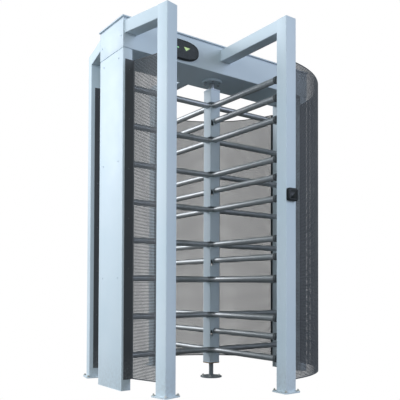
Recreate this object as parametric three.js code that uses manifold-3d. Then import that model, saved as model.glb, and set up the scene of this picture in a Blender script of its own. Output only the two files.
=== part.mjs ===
// Full height turnstile: a rotor with four wings of bars turns between two sheet-metal columns, under a
// box header. Square posts on splayed and straight beams, and curved guide sheets, close the rest of the
// ring. Millimetres, +Z up. The origin is on the floor under the rotor's axis. The header runs along X, the
// front is at -Y, and people walk through the half at -X, from the front to the back.
import * as THREE from "three";
import { mergeVertices } from "three/addons/utils/BufferGeometryUtils.js";
import Module from "manifold-3d";

const wasm = await Module();
wasm.setup();

// Clearances.
const GAP = 0.3; // between two pieces that touch
const RUNNING = 0.5; // round a shaft that turns
const OVERRUN = 20; // a cutter passes the face that it cuts by this much

// Facets of the round pieces.
const BAR_SIDES = 12;
const TURNED_SIDES = 28;
const SMALL_SIDES = 16;

// Header and its lid.
const HALF_SPAN = 770; // rotor's axis to the outer face of a column
const HEADER_DEPTH = 300;
const HEADER_UNDERSIDE = 2020;
const HEADER_HEIGHT = 170;
const HEADER_RIM = HEADER_UNDERSIDE + HEADER_HEIGHT;
const HEADER_WALL = 3;
const LID_RISE = 10; // height of the shadow line under the lid
const LID_THICKNESS = 8;
const LID_OVERHANG = 8;
const LID_INSET = 14; // the lid's rim stands back from the header's faces

// Columns at the ends of the header.
const COLUMN_THICKNESS = 64;
const COLUMN_WALL = 2;
const COLUMN_FOOT = 6; // floor plate inside each column
const CABLE_HOLE_R = 22;
const COLUMN_INNER = HALF_SPAN - COLUMN_THICKNESS;

// Square posts and beams.
const POST_SIDE = 80;
const POST_WALL = 3;
const POST_DROP = 10; // the posts end below the header's rim by this
const POST_TOP = HEADER_RIM - POST_DROP;
const BEAM_HEIGHT = 76;
const SIDE_POST_INSET = 115; // a side post's axis lies inside the column's outer face by this
const SIDE_POST_Y = 450;
const SPLAY = THREE.MathUtils.degToRad(12.4); // a side beam turns inwards by this
const BASE_SIDE = 120;
const BASE_THICKNESS = 8;

// Guide sheets.
const SHEET_SETBACK = 8; // the sheet's arc starts behind the column's inner face by this
const SHEET_R = COLUMN_INNER + SHEET_SETBACK;
const SHEET_THICKNESS = 2;
const SHEET_BOTTOM = 65;
const SHEET_DROP = 68; // the sheets end below the header by this
const SHEET_TOP = HEADER_UNDERSIDE - SHEET_DROP;
const FLANGE_MARGIN = 14; // bare strip beside a sheet's flange, on the column's face
const CENTER_POST_SETBACK = 6;
const CENTER_POST_Y = SHEET_R + CENTER_POST_SETBACK; // rotor's axis to the axis of a centre post
const POST_FLANGE = 54;
const CENTER_FLANGE = 42;
const BARE_EDGE = 22; // of a sheet, above and below its openings
const OPENING_ROWS = 10;
const OPENING_PITCH = 72; // about, from one column of openings to the next
const OPEN_SHARE = 0.7; // of the pitch, along the sheet and up it
const ARC_STEP = THREE.MathUtils.degToRad(6);

// Rotor.
const ROTOR_BOTTOM = 96;
const ROTOR_HEADROOM = 62; // between the rotor column and the header
const ROTOR_TOP = HEADER_UNDERSIDE - ROTOR_HEADROOM;
const ROTOR_SIDE = 80;
const ROTOR_WALL = 4;
const END_PLATE = 8;
const BAR_R = 19;
const BAR_WALL = 2;
const VENT_R = 4; // zinc bath vent, hidden in the rotor column
const BEND_R = 48; // round the corner of the rotor column, to the tube's axis
const BEND_STEPS = 5;
const CAP_R = 22;
const CAP_LENGTH = 20;
const CAP_ROUND = 6;
const TIP_CLEARANCE = 66; // between a cap and the guide sheets
const BAR_REACH = SHEET_R - TIP_CLEARANCE - CAP_LENGTH; // the rotor's axis to a tube's end
const ARM_LEVELS = 8;
const ARM_LOWEST = 186;
const ARM_TOP_MARGIN = 112.3; // the highest arm below the rotor column's top
const MID_BARS = 4;
const MID_RISE = 129; // a middle bar above the arm under it
const SLOT_WIDTH = 22; // in the column's face, beside each middle bar
const SLOT_HEIGHT = 38;
const SLOT_DROP = 15; // its middle below the bar's axis

// Foot of the rotor.
const FOOT_R = 72.5;
const FOOT_THICKNESS = 8;
const SPINDLE_R = 15;
const JOURNAL_R = 12.5;
const SPINDLE_TOP = 150;
const WASHER_THICKNESS = 3;
const BUSH_R = 24;
const BUSH_LENGTH = 50;

// Head of the rotor, with the index disc in the header.
const SHAFT_R = 16;
const COLLAR_R = 24;
const HEAD_FLANGE_R = 70;
const HEAD_FLANGE_THICKNESS = 15;
const HEAD_NECK_R = 35;
const HEAD_NECK_RISE = 30; // above the header's underside
const HEAD_NECK_TOP = HEADER_UNDERSIDE + HEAD_NECK_RISE;
const BEARING_R = 28;
const BEARING_WIDTH = 16;
const DISC_R = 100;
const DISC_THICKNESS = 10;
const DISC_RISE = 60; // above the header's underside
const DISC_BOTTOM = HEADER_UNDERSIDE + DISC_RISE;
const LOCK_NUT_R = 26;
const LOCK_NUT_HEIGHT = 12;
const NUT_SIDES = 6;
const SHAFT_ABOVE_NUT = 10;
const INDEX_STOPS = 4;
const NOTCH_DEPTH = 16;
const NOTCH_WIDTH = 26;

// Lock: two pawls on rotary solenoids.
const PLATE_LENGTH = 400;
const PLATE_MARGIN = 7; // between the plate and the header's long sides
const PLATE_THICKNESS = 6;
const PAWL_LENGTH = 80; // from its pivot to its tooth
const PAWL_HUB_R = 15;
const PAWL_ARM = 18; // width of the pawl's arm
const TOOTH_TIP = 14; // width of the tooth at its tip
const TOOTH_ROOT = 20;
const RIM_CLEARANCE = 3; // between the disc's rim and a locked pawl's arm
const TOOTH_CLEARANCE = 1.5;
const PAWL_RELEASE = THREE.MathUtils.degToRad(14);
const SOLENOID_R = 24;
const SOLENOID_HEIGHT = 36;
const SOLENOID_BOSS_R = 9;
const SOLENOID_SHAFT_R = 5;
const SHAFT_END = 6; // a pivot stands above its lever by this

// Centring lever with its roller.
const ROLLER_R = 15;
const ROLLER_HEIGHT = 12;
const ROLLER_PIN_R = 4;
const ROLLER_HEAD_R = 6.5;
const ROLLER_HEAD = 2.4;
const ROLLER_PROUD = 4; // in a valley, the roller's axis lies outside the disc's rim by this
const LEVER_LENGTH = 60;
const LEVER_WIDTH = 18;
const LEVER_THICKNESS = 7;
const LEVER_HUB_R = 14;
const LEVER_POST_R = 9;
const LEVER_PIVOT_R = 5;

// Control box, indicator panel and card reader.
const CONTROL_LENGTH = 180;
const CONTROL_WIDTH = 140;
const CONTROL_HEIGHT = 52;
const CONTROL_ROUND = 8;
const CONTROL_FROM_COLUMN = 276;
const PANEL_FROM_COLUMN = 332;
const PANEL_DROP = 7; // its middle below the middle of the header's face
const PANEL_HALF_WIDTH = 140;
const PANEL_HALF_HEIGHT = 61;
const PANEL_POWER = 2.7; // how square the oval is
const PANEL_POINTS = 32;
const PANEL_THICKNESS = 22;
const PANEL_ROUND = 6;
const READER_WIDTH = 76;
const READER_HEIGHT = 74;
const READER_Z = 1142;
const READER_THICKNESS = 22;
const READER_CORNER = 14;
const READER_ROUND = 5;

// Finishes.
const paint = new THREE.MeshStandardMaterial({ color: 0xb9c7d6, roughness: 0.45, metalness: 0.1 });
const lidPaint = new THREE.MeshStandardMaterial({ color: 0xa9b7c6, roughness: 0.5, metalness: 0.1 });
const sheetPaint = new THREE.MeshStandardMaterial({ color: 0x4b4f52, roughness: 0.55, metalness: 0.3 });
const barSteel = new THREE.MeshStandardMaterial({ color: 0x8d9499, roughness: 0.35, metalness: 0.8 });
const machinedSteel = new THREE.MeshStandardMaterial({ color: 0x9aa0a5, roughness: 0.3, metalness: 0.9 });
const zincSteel = new THREE.MeshStandardMaterial({ color: 0xa8a79c, roughness: 0.4, metalness: 0.8 });
const bronze = new THREE.MeshStandardMaterial({ color: 0xa07a46, roughness: 0.4, metalness: 0.8 });
const blackPlastic = new THREE.MeshStandardMaterial({ color: 0x15181b, roughness: 0.4, metalness: 0 });

const turnstile = new THREE.Group();

// A closed solid from a geometry, with its corners shared and its collapsed triangles left out.
function solid(geometry) {
  const bare = geometry.clone();
  for (const name of Object.keys(bare.attributes)) if (name !== "position") bare.deleteAttribute(name);
  const merged = mergeVertices(bare);
  const index = merged.index.array;
  const triVerts = [];
  for (let i = 0; i < index.length; i += 3) {
    const [a, b, c] = index.slice(i, i + 3);
    if (a !== b && b !== c && c !== a) triVerts.push(a, b, c);
  }
  return new wasm.Manifold(
    new wasm.Mesh({
      numProp: 3,
      vertProperties: new Float32Array(merged.attributes.position.array),
      triVerts: new Uint32Array(triVerts),
    }),
  );
}

// A named mesh from a solid, added to a group.
function piece(name, shape, material, parent = turnstile) {
  const { vertProperties, triVerts } = shape.getMesh();
  const geometry = new THREE.BufferGeometry();
  geometry.setAttribute("position", new THREE.BufferAttribute(new Float32Array(vertProperties), 3));
  geometry.setIndex(new THREE.BufferAttribute(new Uint32Array(triVerts), 1));
  const mesh = new THREE.Mesh(geometry, material);
  mesh.name = name;
  parent.add(mesh);
  return mesh;
}

function block(x0, x1, y0, y1, z0, z1) {
  const geometry = new THREE.BoxGeometry(x1 - x0, y1 - y0, z1 - z0);
  return solid(geometry.translate((x0 + x1) / 2, (y0 + y1) / 2, (z0 + z1) / 2));
}

// A block centred on the Z axis.
function slab(length, width, z0, z1) {
  return block(-length / 2, length / 2, -width / 2, width / 2, z0, z1);
}

function prism(points, z0, z1) {
  const shape = new THREE.Shape(points);
  const geometry = new THREE.ExtrudeGeometry(shape, { depth: z1 - z0, bevelEnabled: false });
  return solid(geometry.translate(0, 0, z0));
}

// A round solid about the Z axis, from pairs of radius and height.
function turned(profile, sides) {
  const points = profile.map(([r, z]) => new THREE.Vector2(r, z));
  return solid(new THREE.LatheGeometry(points, sides).rotateX(Math.PI / 2));
}

function rod(r, z0, z1, sides) {
  return turned([[0, z0], [r, z0], [r, z1], [0, z1]], sides);
}

// A rod whose flats, not its corners, lie at the radius, so that it clears what passes through it.
function drill(r, z0, z1, sides) {
  return rod(r / Math.cos(Math.PI / sides), z0, z1, sides);
}

function moved(shape, x, y, z = 0) {
  return shape.translate([x, y, z]);
}

// A rounded or oval plate with softened edges, its back on the plane z = 0.
function softPlate(shape, thickness, round) {
  const geometry = new THREE.ExtrudeGeometry(shape, {
    depth: thickness - 2 * round,
    bevelThickness: round,
    bevelSize: round,
    bevelOffset: -round,
    bevelSegments: 1,
    curveSegments: 3,
  });
  return solid(geometry.translate(0, 0, round));
}

function roundedRectangle(width, height, corner) {
  const x = width / 2 - corner;
  const y = height / 2 - corner;
  const quarter = Math.PI / 2;
  const shape = new THREE.Shape();
  shape.absarc(x, y, corner, 0, quarter);
  shape.absarc(-x, y, corner, quarter, 2 * quarter);
  shape.absarc(-x, -y, corner, 2 * quarter, 3 * quarter);
  shape.absarc(x, -y, corner, 3 * quarter, 4 * quarter);
  shape.closePath();
  return shape;
}

// Header: a folded channel, open at the top, bored for the rotor's head and for a cable into each column. A
// plate closes each end.
const halfDepth = HEADER_DEPTH / 2;
const headerFloor = HEADER_UNDERSIDE + HEADER_WALL;
const columnAxis = HALF_SPAN - COLUMN_THICKNESS / 2;
const channelInner = halfDepth - HEADER_WALL;

function headerChannel() {
  const past = HALF_SPAN + OVERRUN;
  let shape = block(-HALF_SPAN, HALF_SPAN, -halfDepth, halfDepth, HEADER_UNDERSIDE, HEADER_RIM);
  shape = shape.subtract(block(-past, past, -channelInner, channelInner, headerFloor, HEADER_RIM + OVERRUN));
  const from = HEADER_UNDERSIDE - OVERRUN;
  const to = headerFloor + OVERRUN;
  shape = shape.subtract(drill(HEAD_NECK_R + GAP, from, to, TURNED_SIDES));
  for (const side of [-1, 1]) {
    shape = shape.subtract(moved(drill(CABLE_HOLE_R, from, to, SMALL_SIDES), side * columnAxis, 0));
  }
  return shape;
}

function headerEnd(side) {
  const outer = side * HALF_SPAN;
  const inner = side * (HALF_SPAN - HEADER_WALL);
  const reach = channelInner - GAP;
  return block(Math.min(outer, inner), Math.max(outer, inner), -reach, reach, headerFloor + GAP, HEADER_RIM);
}

// The lid stands on a strip round its edge, set back a little, so that a dark line shows under it. Its rim
// drops into the header, so that it can't slide off.
function headerLid() {
  const plateBottom = HEADER_RIM + LID_RISE;
  const plateTop = plateBottom + LID_THICKNESS;
  const frame = (inset, z0, z1) => slab(2 * (HALF_SPAN - inset), HEADER_DEPTH - 2 * inset, z0, z1);
  const plate = frame(-LID_OVERHANG, plateBottom, plateTop);
  const strip = frame(HEADER_WALL / 2, HEADER_RIM + GAP, plateTop);
  const rim = frame(LID_INSET, HEADER_RIM - LID_RISE, plateTop);
  const hollow = frame(LID_INSET + HEADER_WALL, HEADER_RIM - LID_RISE - OVERRUN, plateBottom);
  return plate.add(strip).add(rim).subtract(hollow);
}

piece("header_channel", headerChannel(), paint);
piece("header_left_end", headerEnd(-1), paint);
piece("header_right_end", headerEnd(1), paint);
piece("header_lid", headerLid(), lidPaint);

// Columns: a folded tube with a floor plate inside, open at the top into the header.
function column() {
  const top = HEADER_UNDERSIDE - GAP;
  const outer = slab(COLUMN_THICKNESS, HEADER_DEPTH, 0, top);
  const wall = 2 * COLUMN_WALL;
  const inner = slab(COLUMN_THICKNESS - wall, HEADER_DEPTH - wall, COLUMN_FOOT, top + OVERRUN);
  const cable = drill(CABLE_HOLE_R, -OVERRUN, COLUMN_FOOT + OVERRUN, SMALL_SIDES);
  return outer.subtract(inner).subtract(cable);
}

piece("left_column", column(), paint).position.x = -columnAxis;
piece("right_column", column(), paint).position.x = columnAxis;

// Posts: square tube with a closed top, welded on a floor plate that is open to the tube.
function post() {
  const tube = slab(POST_SIDE, POST_SIDE, 0, POST_TOP);
  const plate = slab(BASE_SIDE, BASE_SIDE, 0, BASE_THICKNESS);
  const bore = POST_SIDE - 2 * POST_WALL;
  return tube.add(plate).subtract(slab(bore, bore, -OVERRUN, POST_TOP - POST_WALL));
}

// Directions of a side beam at the front left: along it, away from the header, and across it, towards the
// rotor.
const along = new THREE.Vector2(Math.sin(SPLAY), -Math.cos(SPLAY));
const across = new THREE.Vector2(Math.cos(SPLAY), Math.sin(SPLAY));
const sidePost = new THREE.Vector2(SIDE_POST_INSET - HALF_SPAN, -SIDE_POST_Y);

function placedPost(name, x, y, turn) {
  const mesh = piece(name, post(), paint);
  mesh.position.set(x, y, 0);
  mesh.rotation.z = turn;
}

placedPost("front_left_post", sidePost.x, sidePost.y, SPLAY);
placedPost("back_left_post", sidePost.x, -sidePost.y, -SPLAY);
placedPost("front_center_post", 0, -CENTER_POST_Y, 0);
placedPost("back_center_post", 0, CENTER_POST_Y, 0);

// Beams: square tube from the header's face to the back of a post, mitred to the header where it is splayed.
function beamPlan(start, direction, sideways, halfWidth) {
  const header = -halfDepth - GAP;
  const end = start.clone().addScaledVector(direction, -POST_SIDE / 2 - GAP);
  const corner = (side) => end.clone().addScaledVector(sideways, side * halfWidth);
  const seat = (side) => {
    const far = corner(side);
    return far.clone().addScaledVector(direction, (header - far.y) / direction.y);
  };
  return [corner(-1), corner(1), seat(1), seat(-1)];
}

function beam(start, direction, sideways) {
  const bottom = POST_TOP - BEAM_HEIGHT;
  const outside = beamPlan(start, direction, sideways, POST_SIDE / 2);
  const bore = beamPlan(start, direction, sideways, POST_SIDE / 2 - POST_WALL);
  bore.slice(0, 2).forEach((point) => point.addScaledVector(direction, OVERRUN));
  bore.slice(2).forEach((point) => point.addScaledVector(direction, -OVERRUN));
  return prism(outside, bottom, POST_TOP).subtract(prism(bore, bottom + POST_WALL, POST_TOP - POST_WALL));
}

const sideBeam = beam(sidePost, along, across);
const centerPost = new THREE.Vector2(0, -CENTER_POST_Y);
const centerBeam = beam(centerPost, new THREE.Vector2(0, -1), new THREE.Vector2(1, 0));
piece("front_left_beam", sideBeam, paint);
piece("back_left_beam", sideBeam, paint).scale.y = -1;
piece("front_center_beam", centerBeam, paint);
piece("back_center_beam", centerBeam, paint).scale.y = -1;

// Guide sheets: a bent strip, from a flange on the column's face, round the rotor, to a flange on a post. The
// fine holes of the perforated sheet are gathered into a plain grid of openings, with as much of it open.
function ribbon(path, thickness) {
  const offset = (side) =>
    path.map((point, i) => {
      const before = path[Math.max(i - 1, 0)];
      const after = path[Math.min(i + 1, path.length - 1)];
      const into = point.clone().sub(before);
      const out = after.clone().sub(point);
      if (i === 0) into.copy(out);
      if (i === path.length - 1) out.copy(into);
      const a = into.normalize();
      const b = out.normalize();
      const normal = new THREE.Vector2(-a.y - b.y, a.x + b.x).normalize();
      const reach = (side * thickness) / 2 / (normal.x * -a.y + normal.y * a.x);
      return point.clone().addScaledVector(normal, reach);
    });
  return [...offset(1), ...offset(-1).reverse()];
}

const sheetMid = SHEET_THICKNESS / 2;
const columnFaceY = halfDepth + GAP + sheetMid;
const flangeEdge = HALF_SPAN - FLANGE_MARGIN;
const arcStart = Math.asin(columnFaceY / SHEET_R);

// Points of the sheet's arc, by the angle from the X axis; side is -1 at the left and 1 at the right.
function sheetArc(side, end) {
  const steps = Math.max(1, Math.round((end - arcStart) / ARC_STEP));
  return Array.from({ length: steps + 1 }, (_, i) => {
    const angle = arcStart + ((end - arcStart) * i) / steps;
    return new THREE.Vector2(side * SHEET_R * Math.cos(angle), -SHEET_R * Math.sin(angle));
  });
}

// The strip of a path, with openings in each of its runs but the flanges at its ends.
function perforated(path) {
  let sheet = prism(ribbon(path, SHEET_THICKNESS), SHEET_BOTTOM, SHEET_TOP);
  const rowPitch = (SHEET_TOP - SHEET_BOTTOM - 2 * BARE_EDGE) / OPENING_ROWS;
  const halfHeight = (rowPitch * OPEN_SHARE) / 2;
  for (let i = 1; i < path.length - 2; i++) {
    const run = path[i + 1].clone().sub(path[i]);
    const columns = Math.max(1, Math.round(run.length() / OPENING_PITCH));
    const halfWidth = ((run.length() / columns) * OPEN_SHARE) / 2;
    const opening = block(-halfWidth, halfWidth, -OVERRUN, OVERRUN, -halfHeight, halfHeight);
    const turnedOpening = opening.rotate([0, 0, THREE.MathUtils.radToDeg(run.angle())]);
    for (let column = 0; column < columns; column++) {
      const at = path[i].clone().addScaledVector(run, (column + 1 / 2) / columns);
      for (let row = 0; row < OPENING_ROWS; row++) {
        const z = SHEET_BOTTOM + BARE_EDGE + (row + 1 / 2) * rowPitch;
        sheet = sheet.subtract(moved(turnedOpening, at.x, at.y, z));
      }
    }
  }
  return sheet;
}

function leftSheet() {
  const back = -POST_SIDE / 2 - GAP - sheetMid;
  const corner = sidePost.clone().addScaledVector(along, back).addScaledVector(across, POST_SIDE / 2);
  const reach = corner.length();
  // From here on the sheet runs straight to the post, as a tangent of its arc.
  const leave = Math.atan2(-corner.y, -corner.x) - Math.acos(SHEET_R / reach);
  const flange = corner.clone().addScaledVector(across, -POST_FLANGE);
  const start = new THREE.Vector2(-flangeEdge, -columnFaceY);
  return perforated([start, ...sheetArc(-1, leave), corner, flange]);
}

function rightSheet() {
  const faceX = POST_SIDE / 2 + GAP + sheetMid;
  const arc = sheetArc(1, Math.acos(faceX / SHEET_R));
  const last = arc[arc.length - 1];
  const start = new THREE.Vector2(flangeEdge, -columnFaceY);
  return perforated([start, ...arc, new THREE.Vector2(last.x, last.y - CENTER_FLANGE)]);
}

const leftSheetShape = leftSheet();
const rightSheetShape = rightSheet();
piece("left_front_sheet", leftSheetShape, sheetPaint);
piece("left_back_sheet", leftSheetShape, sheetPaint).scale.y = -1;
piece("right_front_sheet", rightSheetShape, sheetPaint);
piece("right_back_sheet", rightSheetShape, sheetPaint).scale.y = -1;

// Foot of the rotor: a floor flange with a fixed spindle, a thrust washer on the spindle's shoulder, and the
// bush that turns on them.
const shoulder = ROTOR_BOTTOM - GAP - WASHER_THICKNESS - GAP;

function footFlange() {
  const profile = [
    [0, 0],
    [FOOT_R, 0],
    [FOOT_R, FOOT_THICKNESS],
    [SPINDLE_R, FOOT_THICKNESS],
    [SPINDLE_R, shoulder],
    [JOURNAL_R, shoulder],
    [JOURNAL_R, SPINDLE_TOP],
    [0, SPINDLE_TOP],
  ];
  return turned(profile, TURNED_SIDES);
}

function thrustWasher() {
  const bottom = shoulder + GAP;
  const top = bottom + WASHER_THICKNESS;
  const bore = drill(JOURNAL_R + RUNNING, bottom - OVERRUN, top + OVERRUN, SMALL_SIDES);
  return rod(SPINDLE_R, bottom, top, SMALL_SIDES).subtract(bore);
}

piece("foot_flange", footFlange(), machinedSteel);
piece("thrust_washer", thrustWasher(), bronze);

const rotor = new THREE.Group();
turnstile.add(rotor);
const bushTop = ROTOR_BOTTOM + END_PLATE;

function footBush() {
  const hubTop = bushTop + BUSH_LENGTH;
  const plate = slab(ROTOR_SIDE, ROTOR_SIDE, ROTOR_BOTTOM, bushTop);
  const hub = rod(BUSH_R, ROTOR_BOTTOM, hubTop, TURNED_SIDES);
  const bore = drill(JOURNAL_R + RUNNING, ROTOR_BOTTOM - OVERRUN, hubTop + OVERRUN, TURNED_SIDES);
  return plate.add(hub).subtract(bore);
}

piece("foot_bush", footBush(), bronze, rotor);

// Arms and bars. An arm is one steel tube, bent at a right angle, that makes a bar on two neighbouring wings.
// Two arms pass back to back in the rotor column at each level. A middle bar is straight. Each tube has a
// rounded cap on its free ends, and a vent where the column hides it.
const armPitch = (ROTOR_TOP - ARM_TOP_MARGIN - ARM_LOWEST) / (ARM_LEVELS - 1);
const armLevels = Array.from({ length: ARM_LEVELS }, (_, i) => ARM_LOWEST + i * armPitch);
const midLevels = Array.from({ length: MID_BARS }, (_, i) => armLevels[2 * i] + MID_RISE);
const barBore = BAR_R - BAR_WALL;
const capEnd = BAR_REACH + CAP_LENGTH;
const freeEnd = [
  [BAR_R, BAR_REACH],
  [CAP_R, BAR_REACH],
  [CAP_R, capEnd - CAP_ROUND],
  [CAP_R - CAP_ROUND, capEnd],
];

// A round solid through stations, each with a place and a direction in plan, and a radius.
function swept(stations) {
  const positions = [];
  const faces = [];
  for (const { at, ahead, r } of stations) {
    for (let i = 0; i < BAR_SIDES; i++) {
      const angle = (2 * Math.PI * i) / BAR_SIDES;
      const aside = r * Math.cos(angle);
      positions.push(at.x - ahead.y * aside, at.y + ahead.x * aside, r * Math.sin(angle));
    }
  }
  for (let ring = 0; ring < stations.length - 1; ring++) {
    for (let i = 0; i < BAR_SIDES; i++) {
      const a = ring * BAR_SIDES + i;
      const b = ring * BAR_SIDES + ((i + 1) % BAR_SIDES);
      faces.push(a, b, b + BAR_SIDES, a, b + BAR_SIDES, a + BAR_SIDES);
    }
  }
  const last = (stations.length - 1) * BAR_SIDES;
  for (let i = 1; i < BAR_SIDES - 1; i++) {
    faces.push(0, i + 1, i, last, last + i, last + i + 1);
  }
  const geometry = new THREE.BufferGeometry();
  geometry.setAttribute("position", new THREE.Float32BufferAttribute(positions, 3));
  geometry.setIndex(faces);
  return solid(geometry);
}

// A bent tube that comes in along X from the left and leaves towards the front, from pairs of radius and
// distance that run to the free end.
function bent(leg, bendRadius) {
  const stations = [];
  for (const [r, reach] of [...leg].reverse()) {
    stations.push({ at: new THREE.Vector2(-reach, 0), ahead: new THREE.Vector2(1, 0), r });
  }
  for (let i = 0; i <= BEND_STEPS; i++) {
    const angle = ((Math.PI / 2) * i) / BEND_STEPS;
    const ahead = new THREE.Vector2(Math.cos(angle), -Math.sin(angle));
    const at = new THREE.Vector2(-ahead.y, ahead.x).subScalar(1).multiplyScalar(BEND_R);
    stations.push({ at, ahead, r: bendRadius });
  }
  for (const [r, reach] of leg) {
    stations.push({ at: new THREE.Vector2(0, -reach), ahead: new THREE.Vector2(0, -1), r });
  }
  return swept(stations);
}

// A straight tube along Y, from pairs of radius and distance that run to each free end.
function straight(ends) {
  const stations = [];
  const ahead = new THREE.Vector2(0, 1);
  for (const [r, reach] of [...ends].reverse()) stations.push({ at: new THREE.Vector2(0, -reach), ahead, r });
  for (const [r, reach] of ends) stations.push({ at: new THREE.Vector2(0, reach), ahead, r });
  return swept(stations);
}

function vent(x, y) {
  return moved(rod(VENT_R, -BAR_R - OVERRUN, 0, SMALL_SIDES), x, y);
}

function arm() {
  const bendMiddle = BEND_R * (Math.SQRT1_2 - 1);
  const bore = bent([[barBore, BAR_REACH]], barBore);
  return bent(freeEnd, BAR_R).subtract(bore).subtract(vent(bendMiddle, bendMiddle));
}

function midBar() {
  return straight(freeEnd).subtract(straight([[barBore, BAR_REACH]])).subtract(vent(0, 0));
}

armLevels.forEach((z, i) => {
  piece(`front_arm_${i + 1}`, arm(), barSteel, rotor).position.z = z;
  const back = piece(`back_arm_${i + 1}`, arm(), barSteel, rotor);
  back.rotation.z = Math.PI;
  back.position.z = z;
});
midLevels.forEach((z, i) => {
  piece(`mid_bar_${i + 1}`, midBar(), barSteel, rotor).position.z = z;
});

// Rotor column: square tube. Two opposite corners are notched at each level for the bends of the arms, and
// the front and back faces are drilled for the middle bars, with a slot beside each hole.
function rotorColumn() {
  const bottom = bushTop + GAP;
  const top = ROTOR_TOP - END_PLATE - GAP;
  const half = ROTOR_SIDE / 2;
  const bore = ROTOR_SIDE - 2 * ROTOR_WALL;
  const seat = BAR_R + GAP;
  const armRoom = bent([[seat, half + OVERRUN]], seat);
  // Where the axis of a bend crosses the column's face.
  const crossing = Math.sqrt(BEND_R ** 2 - (BEND_R - half) ** 2) - BEND_R;
  const notch = armRoom.add(
    block(-half - OVERRUN, crossing, -half - OVERRUN, crossing, -seat, seat),
  );
  const hole = straight([[seat, half + OVERRUN]]);
  const slotStart = ROTOR_WALL - half;
  const slot = block(
    slotStart,
    slotStart + SLOT_WIDTH,
    -half - OVERRUN,
    slotStart,
    -SLOT_HEIGHT / 2,
    SLOT_HEIGHT / 2,
  );
  const turnedRound = (shape) => shape.rotate([0, 0, 180]);
  let tube = slab(ROTOR_SIDE, ROTOR_SIDE, bottom, top);
  tube = tube.subtract(slab(bore, bore, bottom - OVERRUN, top + OVERRUN));
  for (const z of armLevels) {
    tube = tube.subtract(moved(notch, 0, 0, z)).subtract(moved(turnedRound(notch), 0, 0, z));
  }
  for (const z of midLevels) {
    tube = tube.subtract(moved(hole, 0, 0, z));
    const slotZ = z - SLOT_DROP;
    tube = tube.subtract(moved(slot, 0, 0, slotZ)).subtract(moved(turnedRound(slot), 0, 0, slotZ));
  }
  return tube;
}

piece("rotor_column", rotorColumn(), paint, rotor);

// Head of the rotor: an end plate with its shaft, which runs in a bearing housing hung in the header's floor.
const discTop = DISC_BOTTOM + DISC_THICKNESS;
const collarTop = DISC_BOTTOM - GAP;
const lockNutBottom = discTop + GAP;
const lockNutTop = lockNutBottom + LOCK_NUT_HEIGHT;
const shaftTop = lockNutTop + SHAFT_ABOVE_NUT;

function topShaft() {
  const plate = slab(ROTOR_SIDE, ROTOR_SIDE, ROTOR_TOP - END_PLATE, ROTOR_TOP);
  const shaft = turned(
    [
      [0, ROTOR_TOP - END_PLATE],
      [SHAFT_R, ROTOR_TOP - END_PLATE],
      [SHAFT_R, HEAD_NECK_TOP + GAP],
      [COLLAR_R, HEAD_NECK_TOP + GAP],
      [COLLAR_R, collarTop],
      [SHAFT_R, collarTop],
      [SHAFT_R, shaftTop],
      [0, shaftTop],
    ],
    TURNED_SIDES,
  );
  return plate.add(shaft);
}

piece("top_shaft", topShaft(), machinedSteel, rotor);

const headBore = SHAFT_R + RUNNING;
const flangeTop = HEADER_UNDERSIDE - GAP;
const flangeBottom = flangeTop - HEAD_FLANGE_THICKNESS;
const bearingBottom = HEAD_NECK_TOP - BEARING_WIDTH;

function topBearingHousing() {
  const profile = [
    [headBore, flangeBottom],
    [HEAD_FLANGE_R, flangeBottom],
    [HEAD_FLANGE_R, flangeTop],
    [HEAD_NECK_R, flangeTop],
    [HEAD_NECK_R, HEAD_NECK_TOP],
    [BEARING_R + GAP, HEAD_NECK_TOP],
    [BEARING_R + GAP, bearingBottom - GAP],
    [headBore, bearingBottom - GAP],
    [headBore, flangeBottom],
  ];
  return turned(profile, TURNED_SIDES);
}

function topBearing() {
  const bore = drill(headBore, bearingBottom - OVERRUN, HEAD_NECK_TOP + OVERRUN, TURNED_SIDES);
  return rod(BEARING_R, bearingBottom, HEAD_NECK_TOP, TURNED_SIDES).subtract(bore);
}

function discLockNut() {
  const bore = drill(SHAFT_R + GAP, lockNutBottom - OVERRUN, lockNutTop + OVERRUN, TURNED_SIDES);
  return rod(LOCK_NUT_R, lockNutBottom, lockNutTop, NUT_SIDES).subtract(bore);
}

piece("top_bearing_housing", topBearingHousing(), machinedSteel);
piece("top_bearing", topBearing(), machinedSteel);
piece("disc_lock_nut", discLockNut(), zincSteel, rotor);

// Index disc: a notch at each stop for the pawls, and between them a round valley for the centring roller.
const midStop = Math.PI / INDEX_STOPS; // half the angle between two stops
const rollerSeat = DISC_R + ROLLER_PROUD; // the roller's axis from the rotor's axis

function indexDisc() {
  let disc = rod(DISC_R, DISC_BOTTOM, discTop, 2 * TURNED_SIDES);
  const from = DISC_BOTTOM - OVERRUN;
  const to = discTop + OVERRUN;
  disc = disc.subtract(drill(SHAFT_R + GAP, from, to, TURNED_SIDES));
  const notch = block(DISC_R - NOTCH_DEPTH, DISC_R + OVERRUN, -NOTCH_WIDTH / 2, NOTCH_WIDTH / 2, from, to);
  const valley = moved(drill(ROLLER_R + RUNNING, from, to, SMALL_SIDES), rollerSeat, 0);
  for (let i = 0; i < INDEX_STOPS; i++) {
    const turn = THREE.MathUtils.radToDeg(2 * midStop * i);
    disc = disc.subtract(notch.rotate([0, 0, turn]));
    disc = disc.subtract(valley.rotate([0, 0, turn + THREE.MathUtils.radToDeg(midStop)]));
  }
  return disc;
}

piece("index_disc", indexDisc(), zincSteel, rotor);

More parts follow.
